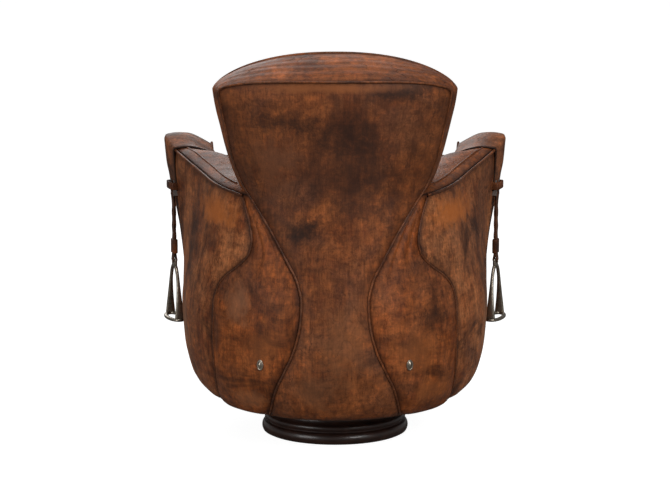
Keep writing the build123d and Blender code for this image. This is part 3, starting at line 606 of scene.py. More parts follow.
def metalMaterial(name, color, rough, patina):
    m = bpy.data.materials.new(name)
    m.use_nodes = True
    tree = m.node_tree
    shader = tree.nodes["Principled BSDF"]
    at = tree.nodes.new("ShaderNodeTexCoord").outputs["Object"]
    spots = rampNode(tree, noiseNode(tree, at, 60, 8, 0.7), [(0.42, (0, 0, 0)), (0.68, (1, 1, 1))])
    link(tree, mixColor(tree, times(tree, spots, patina), color, tuple(c * 0.22 for c in color)),
         shader.inputs["Base Color"])
    link(tree, plus(tree, times(tree, spots, 0.25), rough), shader.inputs["Roughness"])
    shader.inputs["Metallic"].default_value = 1.0
    b = tree.nodes.new("ShaderNodeBump")
    b.inputs["Strength"].default_value = 0.15
    b.inputs["Distance"].default_value = 0.001
    link(tree, noiseNode(tree, at, 240, 4), b.inputs["Height"])
    link(tree, b.outputs[0], shader.inputs["Normal"])
    return m


nickel = metalMaterial("tarnishedNickel", (0.36, 0.31, 0.25), 0.30, 0.92)
zinc = metalMaterial("zincSteel", (0.42, 0.42, 0.41), 0.38, 0.4)


def woodMaterial(name, dark, light, rough, coat):
    m = bpy.data.materials.new(name)
    m.use_nodes = True
    tree = m.node_tree
    shader = tree.nodes["Principled BSDF"]
    at = tree.nodes.new("ShaderNodeTexCoord").outputs["Object"]
    grain = noiseNode(tree, mapping(tree, at, (9, 95, 95)), 1.0, 8, 0.65, 0.7)
    pores = noiseNode(tree, mapping(tree, at, (40, 600, 600)), 1.0, 3, 0.6)
    worn = rampNode(tree, noiseNode(tree, at, 24, 6, 0.7), [(0.50, (0, 0, 0)), (0.72, (1, 1, 1))])
    col = rampNode(tree, grain, [(0.3, dark), (0.7, light)])
    col = mixColor(tree, times(tree, worn, 0.35), col, tuple(min(1, c * 1.9) for c in light))
    link(tree, col, shader.inputs["Base Color"])
    link(tree, plus(tree, times(tree, pores, 0.15), rough), shader.inputs["Roughness"])
    b = tree.nodes.new("ShaderNodeBump")
    b.inputs["Strength"].default_value = 0.2
    b.inputs["Distance"].default_value = 0.001
    link(tree, plus(tree, grain, times(tree, pores, 0.4)), b.inputs["Height"])
    link(tree, b.outputs[0], shader.inputs["Normal"])
    shader.inputs["Coat Weight"].default_value = coat
    shader.inputs["Coat Roughness"].default_value = 0.2
    return m


darkWood = woodMaterial("turnedDarkWood", (0.012, 0.005, 0.004), (0.045, 0.017, 0.010), 0.28, 0.3)
rawWood = woodMaterial("rawTimber", (0.36, 0.22, 0.11), (0.52, 0.36, 0.21), 0.6, 0.0)
ply = woodMaterial("birchPly", (0.45, 0.31, 0.18), (0.62, 0.48, 0.31), 0.6, 0.0)


def clothMaterial(name, color, scale, rough=0.95):
    m = bpy.data.materials.new(name)
    m.use_nodes = True
    tree = m.node_tree
    shader = tree.nodes["Principled BSDF"]
    at = tree.nodes.new("ShaderNodeTexCoord").outputs["Object"]
    fuzz = noiseNode(tree, at, scale, 4, 0.7)
    link(tree, rampNode(tree, fuzz, [(0.3, tuple(c * 0.7 for c in color)),
                                     (0.7, tuple(c * 1.25 for c in color))]), shader.inputs["Base Color"])
    shader.inputs["Roughness"].default_value = rough
    b = tree.nodes.new("ShaderNodeBump")
    b.inputs["Strength"].default_value = 0.4
    b.inputs["Distance"].default_value = 0.001
    link(tree, fuzz, b.inputs["Height"])
    link(tree, b.outputs[0], shader.inputs["Normal"])
    return m


felt = clothMaterial("pressedFelt", (0.05, 0.045, 0.04), 900)
cambric = clothMaterial("cambric", (0.02, 0.02, 0.02), 1400)
foam = clothMaterial("foamPad", (0.60, 0.52, 0.34), 400)
nylon = clothMaterial("nylonCage", (0.7, 0.69, 0.64), 300, 0.5)
print("materials ready")

slotFinish = {"dark_wood": darkWood, "plywood": ply, "hardwood": rawWood, "steel": zinc, "nickel": nickel,
              "felt": felt, "cambric": cambric, "foam": foam, "nylon": nylon, "leather": hides["side"],
              "dark_leather": hides["edge"]}
for part in frame["record"]["subparts"]:
    obj = nodes.get(part["node"])
    if obj is not None:
        obj.data.materials.clear()
        obj.data.materials.append(slotFinish[part["material_slot"]])


# rear and side leather
def span(a, b, count):
    return [a + (b - a) * i / (count - 1) for i in range(count)]


def eased(a, b, count, power=0.5):
    # closer together at both ends
    return [a + (b - a) * (0.5 - 0.5 * math.cos(math.pi * i / (count - 1))) * power
            + (b - a) * i / (count - 1) * (1 - power) for i in range(count)]


fan = {"across": 71, "up": 121, "puff": 0.007}
grid = []
for u in eased(-1, 1, fan["across"]):
    column = []
    for v in eased(0, 1, fan["up"], 0.3):
        z = shell["hem"] + v * (fanTop(u) - shell["hem"])
        x = u * fanHalf(z)
        column.append((x, rearY(x, z), z))
    grid.append(column)
fanPanel = hidePanel("fan_back_panel", grid, -1, puff=fan["puff"], seed=1.0)
finishPiece(fanPanel, "chair", hides["fan"], ["back_panel"])

sidePanel = {"across": 41, "up": 91, "puff": 0.009}
for name, sign in (("left", 1), ("right", -1)):
    grid = []
    for u in eased(0, 1, sidePanel["across"]):
        column = []
        for v in span(0, 1, sidePanel["up"]):
            z = shell["hem"] + v * (0.611 - shell["hem"])
            x = fanHalf(z) + u * (flapEdge(z) - fanHalf(z))
            column.append((sign * x, rearY(x, z, grow=-0.001), z))
        grid.append(column)
    creases = np.zeros((sidePanel["across"], sidePanel["up"]))
    for i in range(sidePanel["across"]):
        for j in range(sidePanel["up"]):
            p = grid[i][j]
            for at, depth in ((0.30, 0.0030), (0.58, 0.0024)):
                gone = (i / (sidePanel["across"] - 1) - at - 0.06 * noise.noise(Vector((p[2] * 9, at * 7,
                        sign)))) / 0.055
                here = math.exp(-((p[2] - 0.49) / 0.085) ** 2)
                creases[i, j] -= depth * math.exp(-gone * gone) * here
    piece = hidePanel("side_back_" + name, grid, -sign, puff=sidePanel["puff"], seed=3.0 + sign,
                      extra=creases)
    finishPiece(piece, "chair", hides["side"], ["side_back_panel_" + name])
print("rear panels laid")


def armEnd(z):
    # where the outside of the arm meets its inside at the front
    low, high = 2.0, 3.0
    for _ in range(24):
        t = (low + high) / 2
        x, y = skinPoint(t, z)
        low, high = (t, high) if x > sideX(y, z, "room") else (low, t)
    return low


def apronEdge(z):
    low, high = 2.0, 3.0
    for _ in range(24):
        t = (low + high) / 2
        low, high = (t, high) if skinPoint(t, z)[0] > 0.276 else (low, t)
    return low


def flapEnd(z):
    if z <= 0.300:
        return apronEdge(z)
    if z >= 0.320:
        return armEnd(z)
    s = (z - 0.300) / 0.020
    return apronEdge(0.300) * (1 - s) + armEnd(0.320) * s


flap = {"along": 111, "up": 91, "puff": 0.006}
flapGrid = []
for s in eased(0, 1, flap["along"], 0.4):
    column = []
    for v in span(0, 1, flap["up"]):
        z = shell["hem"] + v * (0.62 - shell["hem"])
        for _ in range(4):
            start = rearT(flapEdge(min(z, 0.613)), z)
            t = start + (flapEnd(z) - start) * s
            x, y = skinPoint(t, z)
            z = shell["hem"] + v * (armTop(y) - shell["hem"])
        column.append((x, y, z))
    flapGrid.append(column)
foldMap = np.zeros((flap["along"], flap["up"]))
for i in range(flap["along"]):
    for j in range(flap["up"]):
        s, v = i / (flap["along"] - 1), j / (flap["up"] - 1)
        w = s * 15 + 1.6 * v + 1.4 * noise.noise(Vector((s * 5, v * 2.5, 4.0)))
        foldMap[i, j] = 0.0021 * math.sin(w * 2.2) * math.sin(math.pi * min(1, v * 1.1)) * max(0.0,
                noise.noise(Vector((s * 4, v * 3, 9.0))) + 0.35)
for name, sign in (("left", 1), ("right", -1)):
    grid = flapGrid if sign > 0 else mirrored(flapGrid)
    piece = hidePanel("saddle_flap_" + name, grid, -sign, puff=flap["puff"], seed=6.0 + sign, extra=foldMap)
    finishPiece(piece, "chair", hides["flap"], ["flap_" + name])
print("flaps laid")


# arms: top, inside
arm = {"along": 81, "over": 21, "crown": 0.013, "fall": 0.046, "bottom": 0.405}
frontEndY = skinPoint(armEnd(0.680), 0.680)[1]


def topPoint(y, w, lift=0.0):
    # over the arm from its outer edge, w 0, to its inner edge, w 1
    z = armTop(y)
    a, b = sideX(y, z), sideX(y, z, "room")
    fade = min(1.0, max(0.0, (a - b) / 0.09))
    forward = min(1.0, max(0.0, (-0.12 - y) / 0.17))
    forward = forward * forward * (3 - 2 * forward)
    crown = arm["crown"] * (1 - 0.75 * forward) * fade * math.sin(math.pi * min(1.0, w * 0.9 + 0.05)) ** 0.8
    far, near = max(0.0, 0.404 - (a + (b - a) * w)) / 0.104, max(0.0, 0.404 - a) / 0.104
    crown -= arm["fall"] * forward * (min(far, 1.15) ** 1.7 - min(near, 1.15) ** 1.7)
    return (a + (b - a) * w, y, z + crown + lift)


armYs = eased(0.272, frontEndY + 0.004, arm["along"], 0.4)
topGrid = [[topPoint(y, w) for w in eased(0, 1, arm["over"], 0.3)] for y in armYs]
innerGrid = []
for y in armYs:
    top = topPoint(y, 1.0)
    column = []
    for v in span(0, 1, 33):
        z = top[2] + (arm["bottom"] - top[2]) * v
        column.append((sideX(y, z, "room") if v > 0 else top[0], y, z))
    innerGrid.append(column)
for name, sign in (("left", 1), ("right", -1)):
    piece = hidePanel("arm_top_cover_" + name, topGrid if sign > 0 else mirrored(topGrid), -sign,
                      puff=0.003, reach=0.01, seed=11.0 + sign)
    finishPiece(piece, "chair", hides["arm"], ["arm_top_" + name])
    piece = hidePanel("arm_inside_" + name, innerGrid if sign > 0 else mirrored(innerGrid), -sign,
                      puff=0.006, reach=0.02, seed=13.0 + sign)
    finishPiece(piece, "chair", hides["seat"], ["arm_pad_" + name])
print("arms covered")


# backrest: boxing and inside
def backFace(x, z):
    return rearY(x, z, "backRoom")


rearPath, frontPath = [], []
for z in span(0.585, 0.850, 26):
    rearPath.append((fanHalf(z), rearY(fanHalf(z), z), z))
    x = frontHalf(z)
    frontPath.append((x, backFace(x, z), z))
for u in eased(1, -1, 61, 0.75)[1:-1]:
    z = fanTop(u)
    x = u * fanHalf(min(z, 0.86))
    rearPath.append((x, rearY(x, z), z))
    x, z = u * frontHalf(0.85), crestFront(u)
    frontPath.append((x, backFace(x, z) + 0.01 * (1 - abs(u)), z))
for z in span(0.850, 0.585, 26):
    rearPath.append((-fanHalf(z), rearY(fanHalf(z), z), z))
    x = frontHalf(z)
    frontPath.append((-x, backFace(x, z), z))
crest = {"across": 31, "crown": 0.006}
grid, folds = [], []
for a, b in zip(rearPath, frontPath):
    a, b = Vector(a), Vector(b)
    row, fold = [], []
    for w in eased(0, 1, crest["across"], 0.4):
        q = a.lerp(b, w)
        row.append(tuple(q))
        bow = crest["crown"] * math.sin(math.pi * w)
        crease = 0.0011 * math.sin(w * 34 + 2.2 * noise.noise(q * 7)) * math.sin(math.pi * w) * (0.4
                + 0.6 * abs(noise.noise(q * 5)))
        fold.append(bow + crease)
    grid.append(row)
    folds.append(fold)
piece = hidePanel("crest_boxing", grid, 1, puff=0.002, reach=0.01, extra=np.array(folds), seed=17.0)
finishPiece(piece, "chair", hides["crest"], [])

grid = []
for u in eased(-1, 1, 61):
    column = []
    for v in eased(0, 1, 81, 0.3):
        z = 0.400 + v * (crestFront(u) - 0.400)
        x = u * frontHalf(min(z, 0.85))
        column.append((x, backFace(x, z), z))
    grid.append(column)
piece = hidePanel("inside_back", grid, 1, puff=0.012, reach=0.03, seed=19.0)
finishPiece(piece, "chair", hides["seat"], ["back_pad"])
print("backrest covered")


# front apron, hem and seat
grid = []
for s in eased(-1, 1, 61):
    column = []
    for v in span(0, 1, 31):
        z = shell["hem"] + v * (0.300 - shell["hem"])
        end = apronEdge(z)
        x, y = skinPoint(3 - (3 - end) * abs(s), z)
        column.append((math.copysign(x, s), y, z))
    grid.append(column)
piece = hidePanel("front_apron_cover", grid, 1, puff=0.007, seed=23.0)
finishPiece(piece, "chair", hides["side"], ["front_apron"])

hemLine = []
for t in span(0, 3, 61):
    hemLine.append((*skinPoint(t, shell["hem"], grow=-0.006), shell["hem"] + 0.004))
hemLoop = [Vector(p) for p in hemLine] + [Vector((-p[0], p[1], p[2])) for p in reversed(hemLine[1:-1])]
piece = tube("rolled_hem", hemLoop, 0.0085, closed=True, sides=12)
finishPiece(piece, "chair", hides["edge"], ["tub_pad"])
underRim = []
inner = []
for p in hemLoop:
    away = Vector((p.x, p.y, 0)).normalized()
    underRim.append([p + Vector((0, 0, -0.003)), p - away * 0.02 + Vector((0, 0, -0.004)),
                     p - away * 0.052 + Vector((0, 0, -0.002))])
underRim.append(underRim[0])
piece = hidePanel("turned_under_hide", [[tuple(q) for q in row] for row in underRim], 1, puff=0.0,
                  seams=(0, 0, 0, 0), thick=0.002, wave=0.0)
finishPiece(piece, "chair", hides["edge"], [])

seat = {"rearY": 0.160, "frontY": -0.388}


def seatHalf(y):
    return sideX(y, 0.40, "room") - 0.004


outline = []
corner = 0.045
for i in range(25):                                      # rear edge, from the middle out
    outline.append((seatHalf(seat["rearY"] - 0.03) * i / 25, seat["rearY"]))
ys = span(seat["rearY"] - 0.008, seat["frontY"] + corner, 44)
outline += [(seatHalf(y) - (0.012 if i == 0 else 0), y) for i, y in enumerate(ys)]
wide = seatHalf(seat["frontY"] + corner)
for i in range(1, 9):
    a = math.pi / 2 * i / 8
    outline.append((wide - corner * (1 - math.cos(a)), seat["frontY"] + corner * (1 - math.sin(a))))
outline += [((wide - corner) * (1 - i / 24),
             seat["frontY"] - 0.004 * math.sin(math.pi / 2 * i / 24)) for i in range(1, 25)]
loop = outline + [(-x, y) for x, y in reversed(outline[1:-1])]
centre = Vector((0, -0.11, 0))
rings = [(0.050, 0.300), (0.012, 0.302), (0.003, 0.312), (-0.001, 0.345), (-0.002, 0.372), (0.0, 0.398),
         (0.005, 0.413),
         (0.013, 0.423), (0.024, 0.4285), (0.05, 0.4345), (0.09, 0.440), (0.14, 0.4445), (0.19, 0.447),
         (0.24, 0.4485)]
verts, faces = [], []
count = len(loop)
for inset, z in rings:
    for x, y in loop:
        q = Vector((x, y, 0)) - centre
        q = q * max(0.02, 1 - inset / 0.27)
        q = q + centre
        bend = noise.fractal(Vector((q.x * 7, q.y * 7, z * 7 + 31)), 0.9, 2.0,
                             3) * (0.003 if z > 0.41 else 0.0012)
        verts.append((q.x, q.y, z + bend if z > 0.40 else z))
for k in range(len(rings) - 1):
    for i in range(count):
        j = (i + 1) % count
        faces.append((k * count + j, k * count + i, (k + 1) * count + i, (k + 1) * count + j))
verts += [(centre.x, centre.y, 0.300), (centre.x, centre.y, 0.4488)]
for i in range(count):
    j = (i + 1) % count
    faces.append((i, j, len(verts) - 2))
    k = (len(rings) - 1) * count
    faces.append((k + j, k + i, len(verts) - 1))
piece = newMesh("seat_cover", verts, faces)
finishPiece(piece, "chair", hides["seat"], ["seat_cushion", "deck_pad"])
seatPipe = [Vector((x * (1 - 0.017 / 0.27), centre.y + (y - centre.y) * (1 - 0.017 / 0.27), 0.4275)) for x,
            y in loop]
finishPiece(tube("seat_piping", seatPipe, 0.0042, closed=True), "chair", hides["edge"], [])
print("seat made")

# piping
pipe = {"radius": 0.0026, "step": 0.006}
fanLine = [(fanHalf(z), rearY(fanHalf(z), z, grow=0.0040), z) for z in span(shell["hem"] + 0.004, 0.846,
        90)]
for u in eased(1, 0, 40, 0.75):
    z = fanTop(u)
    x = u * fanHalf(min(z, 0.86))
    fanLine.append((x, rearY(x, z, grow=0.0035), z + 0.001))
fanLoop = fanLine + [(-x, y, z) for x, y, z in reversed(fanLine[:-1])]
finishPiece(tube("fan_piping", resample(fanLoop, pipe["step"]), pipe["radius"]), "chair", hides["edge"],
            ["back_piping"])
frontLoop = [(x, y - 0.001, z + 0.001) for x, y, z in frontPath]
finishPiece(tube("crest_front_piping", resample(frontLoop, pipe["step"]), 0.0042), "chair", hides["edge"],
            [])

for name, sign in (("left", 1), ("right", -1)):
    line = []
    for z in span(shell["hem"] + 0.004, 0.604, 84):
        x = flapEdge(z)
        line.append((x, rearY(x, z, grow=0.0040), z))
    finishPiece(tube("flap_piping_cord_" + name,
                     resample([(sign * x, y, z) for x, y, z in line], pipe["step"]), pipe["radius"]),
                "chair", hides["edge"], ["flap_piping_" + name])
    edge = [(0.214, rearY(0.214, 0.611, grow=0.006), 0.610)]
    for y in span(0.232, frontEndY + 0.004, 90):
        z = armTop(y)
        edge.append((sideX(y, z, grow=0.004), y, z + 0.001))
    finishPiece(tube("arm_edge_piping_" + name,
                     resample([(sign * x, y, z) for x, y, z in edge], pipe["step"]), 0.0032),
                "chair", hides["edge"], [])
    second = [topPoint(y, 0.24, 0.0035) for y in span(0.190, frontEndY + 0.03, 80)]
    finishPiece(tube("arm_band_piping_" + name,
                     resample([(sign * x, y, z) for x, y, z in second], pipe["step"]), 0.0028),
                "chair", hides["edge"], [])
    inside = [topPoint(y, 1.0, 0.002) for y in span(0.180, frontEndY + 0.006, 80)]
    down = []
    for z in span(0.655, 0.312, 50):
        x, y = skinPoint(armEnd(z), z, grow=0.003)
        down.append((x, y, z))
    finishPiece(tube("arm_inner_piping_" + name,
                     resample([(sign * x, y, z) for x, y, z in inside + down], pipe["step"]), 0.0034),
                "chair", hides["edge"], [])
print("piping sewn on")


# band, keeper, stirrup leather, iron, studs
joints = {j["name"]: j for j in frame["joints"]}
hang = {"tab": 0.026, "bandLift": 0.0075, "strapWide": 0.024, "strapThick": 0.0031, "barR": 0.0026,
        "drop": 0.167}


def bandPoint(y, s):
    # s 0 on the inside of the arm, 1 over the top's inner edge, 2 at its outer edge, 3 at the tab's foot
    lift = hang["bandLift"]
    if s <= 1:
        top = topPoint(y, 1.0)
        z = 0.607 + (top[2] + 0.003 - 0.607) * s
        return (sideX(y, min(z, top[2]), "room") - lift, y, z)
    if s <= 2:
        w = s - 1
        x, _, z = topPoint(y, 1 - w)
        edge = math.cos(math.pi * w)
        return (x - edge * lift * abs(edge) ** 3, y, z + lift * (1 - 0.35 * abs(edge) ** 4))
    z = armTop(y) + 0.004 + (0.554 - armTop(y) - 0.004) * (s - 2)
    return (sideX(y, z) + lift + 0.002, y, z)


def bandSpan(s):
    # front and rear edges of the band
    if s <= 2.0:
        return -0.330, -0.196
    v = s - 2
    f = min(1.0, v / 0.72)
    f = f * f * (3 - 2 * f)
    return -0.330 + (0.330 - 0.258) * f, -0.196 + (0.196 - 0.206) * f


bandRows = []
for s in eased(0, 1, 12, 0) + eased(1, 2, 22, 0)[1:] + eased(2, 3, 34, 0)[1:]:
    lo, hi = bandSpan(s)
    bandRows.append([bandPoint(lo + (hi - lo) * w, s) for w in span(0, 1, 17)])
bandRows = [[tuple(q) for q in row] for row in bandRows]


def localFrame(sign):
    pos = Vector(joints["strap_%s_swing" % ("left" if sign > 0 else "right")]["pos_m"])
    ax = Vector(joints["strap_%s_swing" % ("left" if sign > 0 else "right")]["axis"])
    along = Vector((0, 0, 0)) - ax if sign > 0 else ax     # towards the back
    along = along if along.y > 0 else -along
    out = Vector((along.y, -along.x, 0)) * sign
    if out.x * sign < 0:
        out = -out
    return pos, along, out


def place(pos, along, out, n, u, z):
    return pos + out * n + along * u + Vector((0, 0, z))


def sweepSection(name, sections, closed=False):
    # sections of matching points, laid across a path
    verts, faces = [], []
    m = len(sections[0])
    for row in sections:
        verts += row
    rows = len(sections)
    for i in range(rows if closed else rows - 1):
        j = (i + 1) % rows
        for k in range(m):
            l = (k + 1) % m
            faces.append((i * m + k, i * m + l, j * m + l, j * m + k))
    if not closed:
        faces.append(tuple(range(m - 1, -1, -1)))
        faces.append(tuple((rows - 1) * m + k for k in range(m)))
    obj = newMesh(name, verts, faces)
    bpy.ops.object.select_all(action="DESELECT")
    obj.select_set(True)
    bpy.context.view_layer.objects.active = obj
    bpy.ops.object.mode_set(mode="EDIT")
    bpy.ops.mesh.select_all(action="SELECT")
    bpy.ops.mesh.normals_make_consistent(inside=False)
    bpy.ops.object.mode_set(mode="OBJECT")
    obj.select_set(False)
    return obj


def superRing(a, b, power, count):
    out = []
    for k in range(count):
        w = 2 * math.pi * k / count
        c, s = math.cos(w), math.sin(w)
        out.append((a * math.copysign(abs(c) ** (2 / power), c),
                    b * math.copysign(abs(s) ** (2 / power), s)))
    return out


def smoothPath(points, count, closed=False):
    # Catmull-Rom through the points
    pts = [Vector(p) for p in points]
    n = len(pts)
    out = []
    segs = n if closed else n - 1
    for i in range(segs):
        p0 = pts[(i - 1) % n] if closed or i > 0 else pts[0]
        p1, p2 = pts[i], pts[(i + 1) % n]
        p3 = pts[(i + 2) % n] if closed or i + 2 < n else pts[-1]
        for k in range(count):
            t = k / count
            out.append(0.5 * ((2 * p1) + (p2 - p0) * t + (2 * p0 - 5 * p1 + 4 * p2 - p3) * t * t
                              + (3 * p1 - p0 - 3 * p2 + p3) * t ** 3))
    if not closed:
        out.append(pts[-1])
    return out


for name, sign in (("left", 1), ("right", -1)):
    pos, along, out = localFrame(sign)
    eye = pos + Vector((0, 0, -hang["drop"]))
    grid = bandRows if sign > 0 else mirrored(bandRows)
    piece = hidePanel("arm_band_strap_" + name, grid, sign, puff=0.0008, reach=0.004, thick=0.0035,
                      wave=0.0006, seed=27 + sign)
    finishPiece(piece, "chair", hides["band"], ["arm_band_" + name])

    # keeper round the tab: a flat leather loop with rounded edges
    sections = []
    wide, deep = hang["tab"] + 0.0035, 0.0105
    for w in [2 * math.pi * i / 40 for i in range(40)]:
        c, s = math.cos(w), math.sin(w)
        n = 0.0015 + deep * math.copysign(abs(c) ** 0.4, c)
        u = wide * math.copysign(abs(s) ** 0.35, s)
        ring = []
        for a, z in superRing(0.0013, 0.0095, 4, 10):
            ring.append(place(pos, along, out, n + a * math.copysign(min(1, abs(c) * 2), c),
                              u + a * math.copysign(min(1, abs(s) * 2), s), 0.021 + z))
        sections.append(ring)
    piece = sweepSection("band_keeper_loop_" + name, sections, True)
    finishPiece(piece, "chair", hides["edge"], ["band_keeper_" + name])

    # stirrup leather: one strap folded round the bar and the eye
    loopR = hang["barR"] + 0.0003 + hang["strapThick"] / 2
    gap = 0.0019
    path = []
    for i in range(13):                                  # over the bar
        w = math.pi * i / 12
        path.append((math.cos(w) * loopR, math.sin(w) * loopR))
    for i in range(1, 24):                               # down the inner leaf
        z = -0.011 + (-hang["drop"] + 0.022) * i / 24
        path.append((-gap - 0.0004 * math.sin(i * 1.3), z))
    for i in range(13):
        w = math.pi + math.pi * i / 12
        path.append((math.cos(w) * loopR, -hang["drop"] + math.sin(w) * loopR))
    for i in range(1, 24):
        z = -hang["drop"] + 0.011 + (hang["drop"] - 0.022) * i / 24
        path.append((gap + 0.0005 * math.sin(i * 1.1 + 1), z))
    sections = []
    total = len(path)
    for i, (n, z) in enumerate(path):
        a, b = path[i - 1], path[(i + 1) % total]
        tn, tz = b[0] - a[0], b[1] - a[1]
        l = math.hypot(tn, tz)
        nn, nz = tz / l, -tn / l
        ring = []
        for p, q in superRing(hang["strapThick"] / 2, hang["strapWide"] / 2, 5, 14):
            ring.append(place(pos, along, out, n + nn * p, q + 0.0004 * math.sin(i * 0.7), z + nz * p))
        sections.append(ring)
    piece = sweepSection("stirrup_strap_" + name, sections, True)
    finishPiece(piece, "strap_" + name, hides["strap"], ["stirrup_leather_" + name])

    sections = []
    for w in [2 * math.pi * i / 32 for i in range(32)]:
        c, s = math.cos(w), math.sin(w)
        n = 0.0052 * math.copysign(abs(c) ** 0.4, c)
        u = 0.0138 * math.copysign(abs(s) ** 0.3, s)
        sections.append([place(eye, along, out, n + a * c, u + a * s, 0.034 + z) for a,
                         z in superRing(0.0016, 0.0178, 5, 12)])
    piece = sweepSection("strap_keeper_" + name, sections, True)
    finishPiece(piece, "strap_" + name, hides["edge"], ["leather_keeper_" + name])

    # iron: arch with branches that widen to flats, an eye, an open oval tread
    halfLine = [(0.0, -0.0130), (0.0120, -0.0155), (0.0250, -0.0260), (0.0350, -0.0420), (0.0420, -0.0640),
                (0.0475, -0.0920), (0.0508, -0.1180), (0.0515, -0.1430)]
    line = smoothPath([(0, -u, z) for u, z in reversed(halfLine[1:])] + [(0, u, z) for u, z in halfLine], 6)
    sections = []
    for i, q in enumerate(line):
        t = (line[min(i + 1, len(line) - 1)] - line[max(i - 1, 0)]).normalized()
        deepness = min(1.0, max(0.0, (-q.z - 0.045) / 0.100))
        b = 0.0042 + (0.0125 - 0.0042) * deepness ** 1.4
        a = 0.0042 - 0.0010 * deepness
        nu, nz = t.z, -t.y
        sections.append([place(eye, along, out, d, q.y + nu * c, q.z + nz * c) for c,
                         d in superRing(a, b, 2.6, 16)])
    arch = sweepSection("iron_arch", sections)
    sections = []
    for i in range(56):                                  # the tread
        w = 2 * math.pi * i / 56
        cu, cn = 0.0520 * math.cos(w), 0.0200 * math.sin(w)
        du, dn = math.cos(w) * 0.0200, math.sin(w) * 0.0520
        l = math.hypot(du, dn)
        sections.append([place(eye, along, out, cn + dn / l * c, cu + du / l * c, -0.146 + d) for c,
                         d in superRing(0.0052, 0.0040, 3, 12)])
    tread = sweepSection("iron_tread", sections, True)
    bars = []
    sections = []
    ringPath = smoothPath([(0, -0.0156, 0.0), (0, -0.0156, -0.0060), (0, -0.0145, -0.0120),
                           (0, 0.0, -0.0135), (0, 0.0145, -0.0120),
                           (0, 0.0156, -0.0060), (0, 0.0156, 0.0)], 6)
    for i, q in enumerate(ringPath):
        t = (ringPath[min(i + 1, len(ringPath) - 1)] - ringPath[max(i - 1, 0)]).normalized()
        nu, nz = t.z, -t.y
        sections.append([place(eye, along, out, d, q.y + nu * c, q.z + nz * c) for c,
                         d in superRing(0.0022, 0.0036, 2.4, 12)])
    bars.append(sweepSection("iron_eye", sections))
    bars.append(tube("iron_bar", [place(eye, along, out, 0, u, 0) for u in span(-0.0172, 0.0172, 9)],
                     hang["barR"], sides=14))
    bpy.ops.object.select_all(action="DESELECT")
    for o in [arch, tread] + bars:
        o.select_set(True)
    bpy.context.view_layer.objects.active = arch
    bpy.ops.object.join()
    arch.name = "nickel_iron_" + name
    arch.select_set(False)
    finishPiece(arch, "iron_" + name, nickel, ["stirrup_iron_" + name])

    # oval nickel stud with a raised rim
    sx, sz = 0.1711, 0.2285
    sy = rearY(sx, sz, grow=0.010)
    slope = (rearY(sx - 0.004, sz) - rearY(sx + 0.004, sz)) / 0.008
    face = Vector((slope, 1, 0)).normalized()
    acrossDir = Vector((face.y, -face.x, 0))
    rings = [(1.0, -0.006), (1.0, 0.0006), (0.97, 0.0016), (0.90, 0.0021), (0.80, 0.0019), (0.72, 0.0012),
             (0.64, 0.0016), (0.50, 0.0030), (0.30, 0.0041), (0.10, 0.0046)]
    verts, faces = [], []
    for size, rise in rings:
        for k in range(28):
            w = 2 * math.pi * k / 28
            q = Vector((sx, sy, sz)) + acrossDir * (0.0085 * size * math.cos(w)) + Vector((0, 0,
                    0.0125 * size * math.sin(w))) + face * rise
            verts.append((sign * q.x, q.y, q.z))
    for i in range(len(rings) - 1):
        for k in range(28):
            l = (k + 1) % 28
            faces.append((i * 28 + k, i * 28 + l, (i + 1) * 28 + l, (i + 1) * 28 + k))
    faces.append(tuple(range(27, -1, -1)))
    faces.append(tuple((len(rings) - 1) * 28 + k for k in range(28)))
    piece = newMesh("oval_stud_" + name, verts, faces)
    bpy.ops.object.select_all(action="DESELECT")
    piece.select_set(True)
    bpy.context.view_layer.objects.active = piece
    bpy.ops.object.mode_set(mode="EDIT")
    bpy.ops.mesh.select_all(action="SELECT")
    bpy.ops.mesh.normals_make_consistent(inside=False)
    bpy.ops.object.mode_set(mode="OBJECT")
    piece.select_set(False)
    finishPiece(piece, "chair", nickel, ["saddle_stud_" + name])
print("stirrups hung")


# floor, light and camera
bpy.ops.object.select_all(action="DESELECT")
bpy.ops.mesh.primitive_plane_add(size=40, location=(0, 0, 0))
floor = bpy.context.object
floor.name = "pale_floor"
floorPaint = bpy.data.materials.new("palePaper")
floorPaint.use_nodes = True
floorPaint.node_tree.nodes["Principled BSDF"].inputs["Base Color"].default_value = (0.30, 0.30, 0.30, 1)
floorPaint.node_tree.nodes["Principled BSDF"].inputs["Roughness"].default_value = 0.9
floorPaint.node_tree.nodes["Principled BSDF"].inputs["Emission Color"].default_value = (1, 1, 1, 1)
floorPaint.node_tree.nodes["Principled BSDF"].inputs["Emission Strength"].default_value = 0.93
floorTree = floorPaint.node_tree
dim = floorTree.nodes.new("ShaderNodeBsdfDiffuse")
dim.inputs["Color"].default_value = (0.25, 0.24, 0.23, 1)
seen = floorTree.nodes.new("ShaderNodeLightPath")
choose = floorTree.nodes.new("ShaderNodeMixShader")
link(floorTree, seen.outputs["Is Camera Ray"], choose.inputs[0])
link(floorTree, dim.outputs[0], choose.inputs[1])
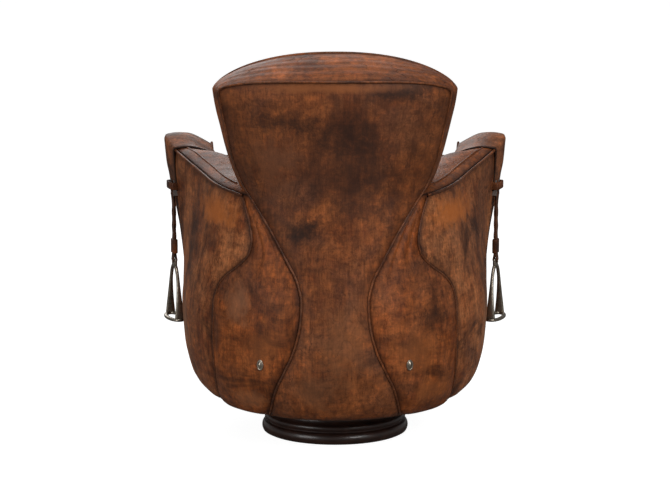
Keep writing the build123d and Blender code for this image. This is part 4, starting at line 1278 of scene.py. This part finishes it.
link(floorTree, floorTree.nodes["Principled BSDF"].outputs[0], choose.inputs[2])
link(floorTree, choose.outputs[0], floorTree.nodes["Material Output"].inputs[0])
floor.data.materials.append(floorPaint)
floor.select_set(False)

world = bpy.data.worlds.new("studio")
world.use_nodes = True
sky = world.node_tree.nodes["Background"]
sky.inputs[0].default_value = (1, 1, 1, 1)
sky.inputs[1].default_value = 0.22
backdrop = world.node_tree.nodes.new("ShaderNodeBackground")
backdrop.inputs[0].default_value = (1, 1, 1, 1)
backdrop.inputs[1].default_value = 1.0
pick = world.node_tree.nodes.new("ShaderNodeMixShader")
path = world.node_tree.nodes.new("ShaderNodeLightPath")
link(world.node_tree, path.outputs["Is Camera Ray"], pick.inputs[0])
link(world.node_tree, sky.outputs[0], pick.inputs[1])
link(world.node_tree, backdrop.outputs[0], pick.inputs[2])
link(world.node_tree, pick.outputs[0], world.node_tree.nodes["World Output"].inputs[0])
scene.world = world
lamps = [("key", (-2.2, 3.2, 2.2), 95, 1.8), ("fill", (2.8, 2.8, 1.4), 52, 2.0),
         ("top", (0, 1.0, 3.2), 40, 1.8), ("front", (0.8, -3.6, 2.4), 60, 2.4)]
for name, spot, power, size in lamps:
    data = bpy.data.lights.new(name, "AREA")
    data.energy = power
    data.size = size
    lamp = bpy.data.objects.new(name, data)
    lamp.location = spot
    lamp.rotation_euler = (Vector((0, 0, 0.45)) - Vector(spot)).to_track_quat("-Z", "Y").to_euler()
    scene.collection.objects.link(lamp)

view = {"distance": 6.0, "rise": 9.5, "aim": 0.436, "lens": 134.0}
camData = bpy.data.cameras.new("camera")
camData.lens = view["lens"]
camData.sensor_width = 36
camData.clip_end = 200
cam = bpy.data.objects.new("camera", camData)
rise = math.radians(view["rise"])
cam.location = (0, view["distance"] * math.cos(rise), view["aim"] + view["distance"] * math.sin(rise))
cam.rotation_euler = (Vector((0, 0, view["aim"])) - cam.location).to_track_quat("-Z", "Y").to_euler()
scene.collection.objects.link(cam)
scene.camera = cam
scene.view_settings.view_transform = "Standard"
print("scene lit")
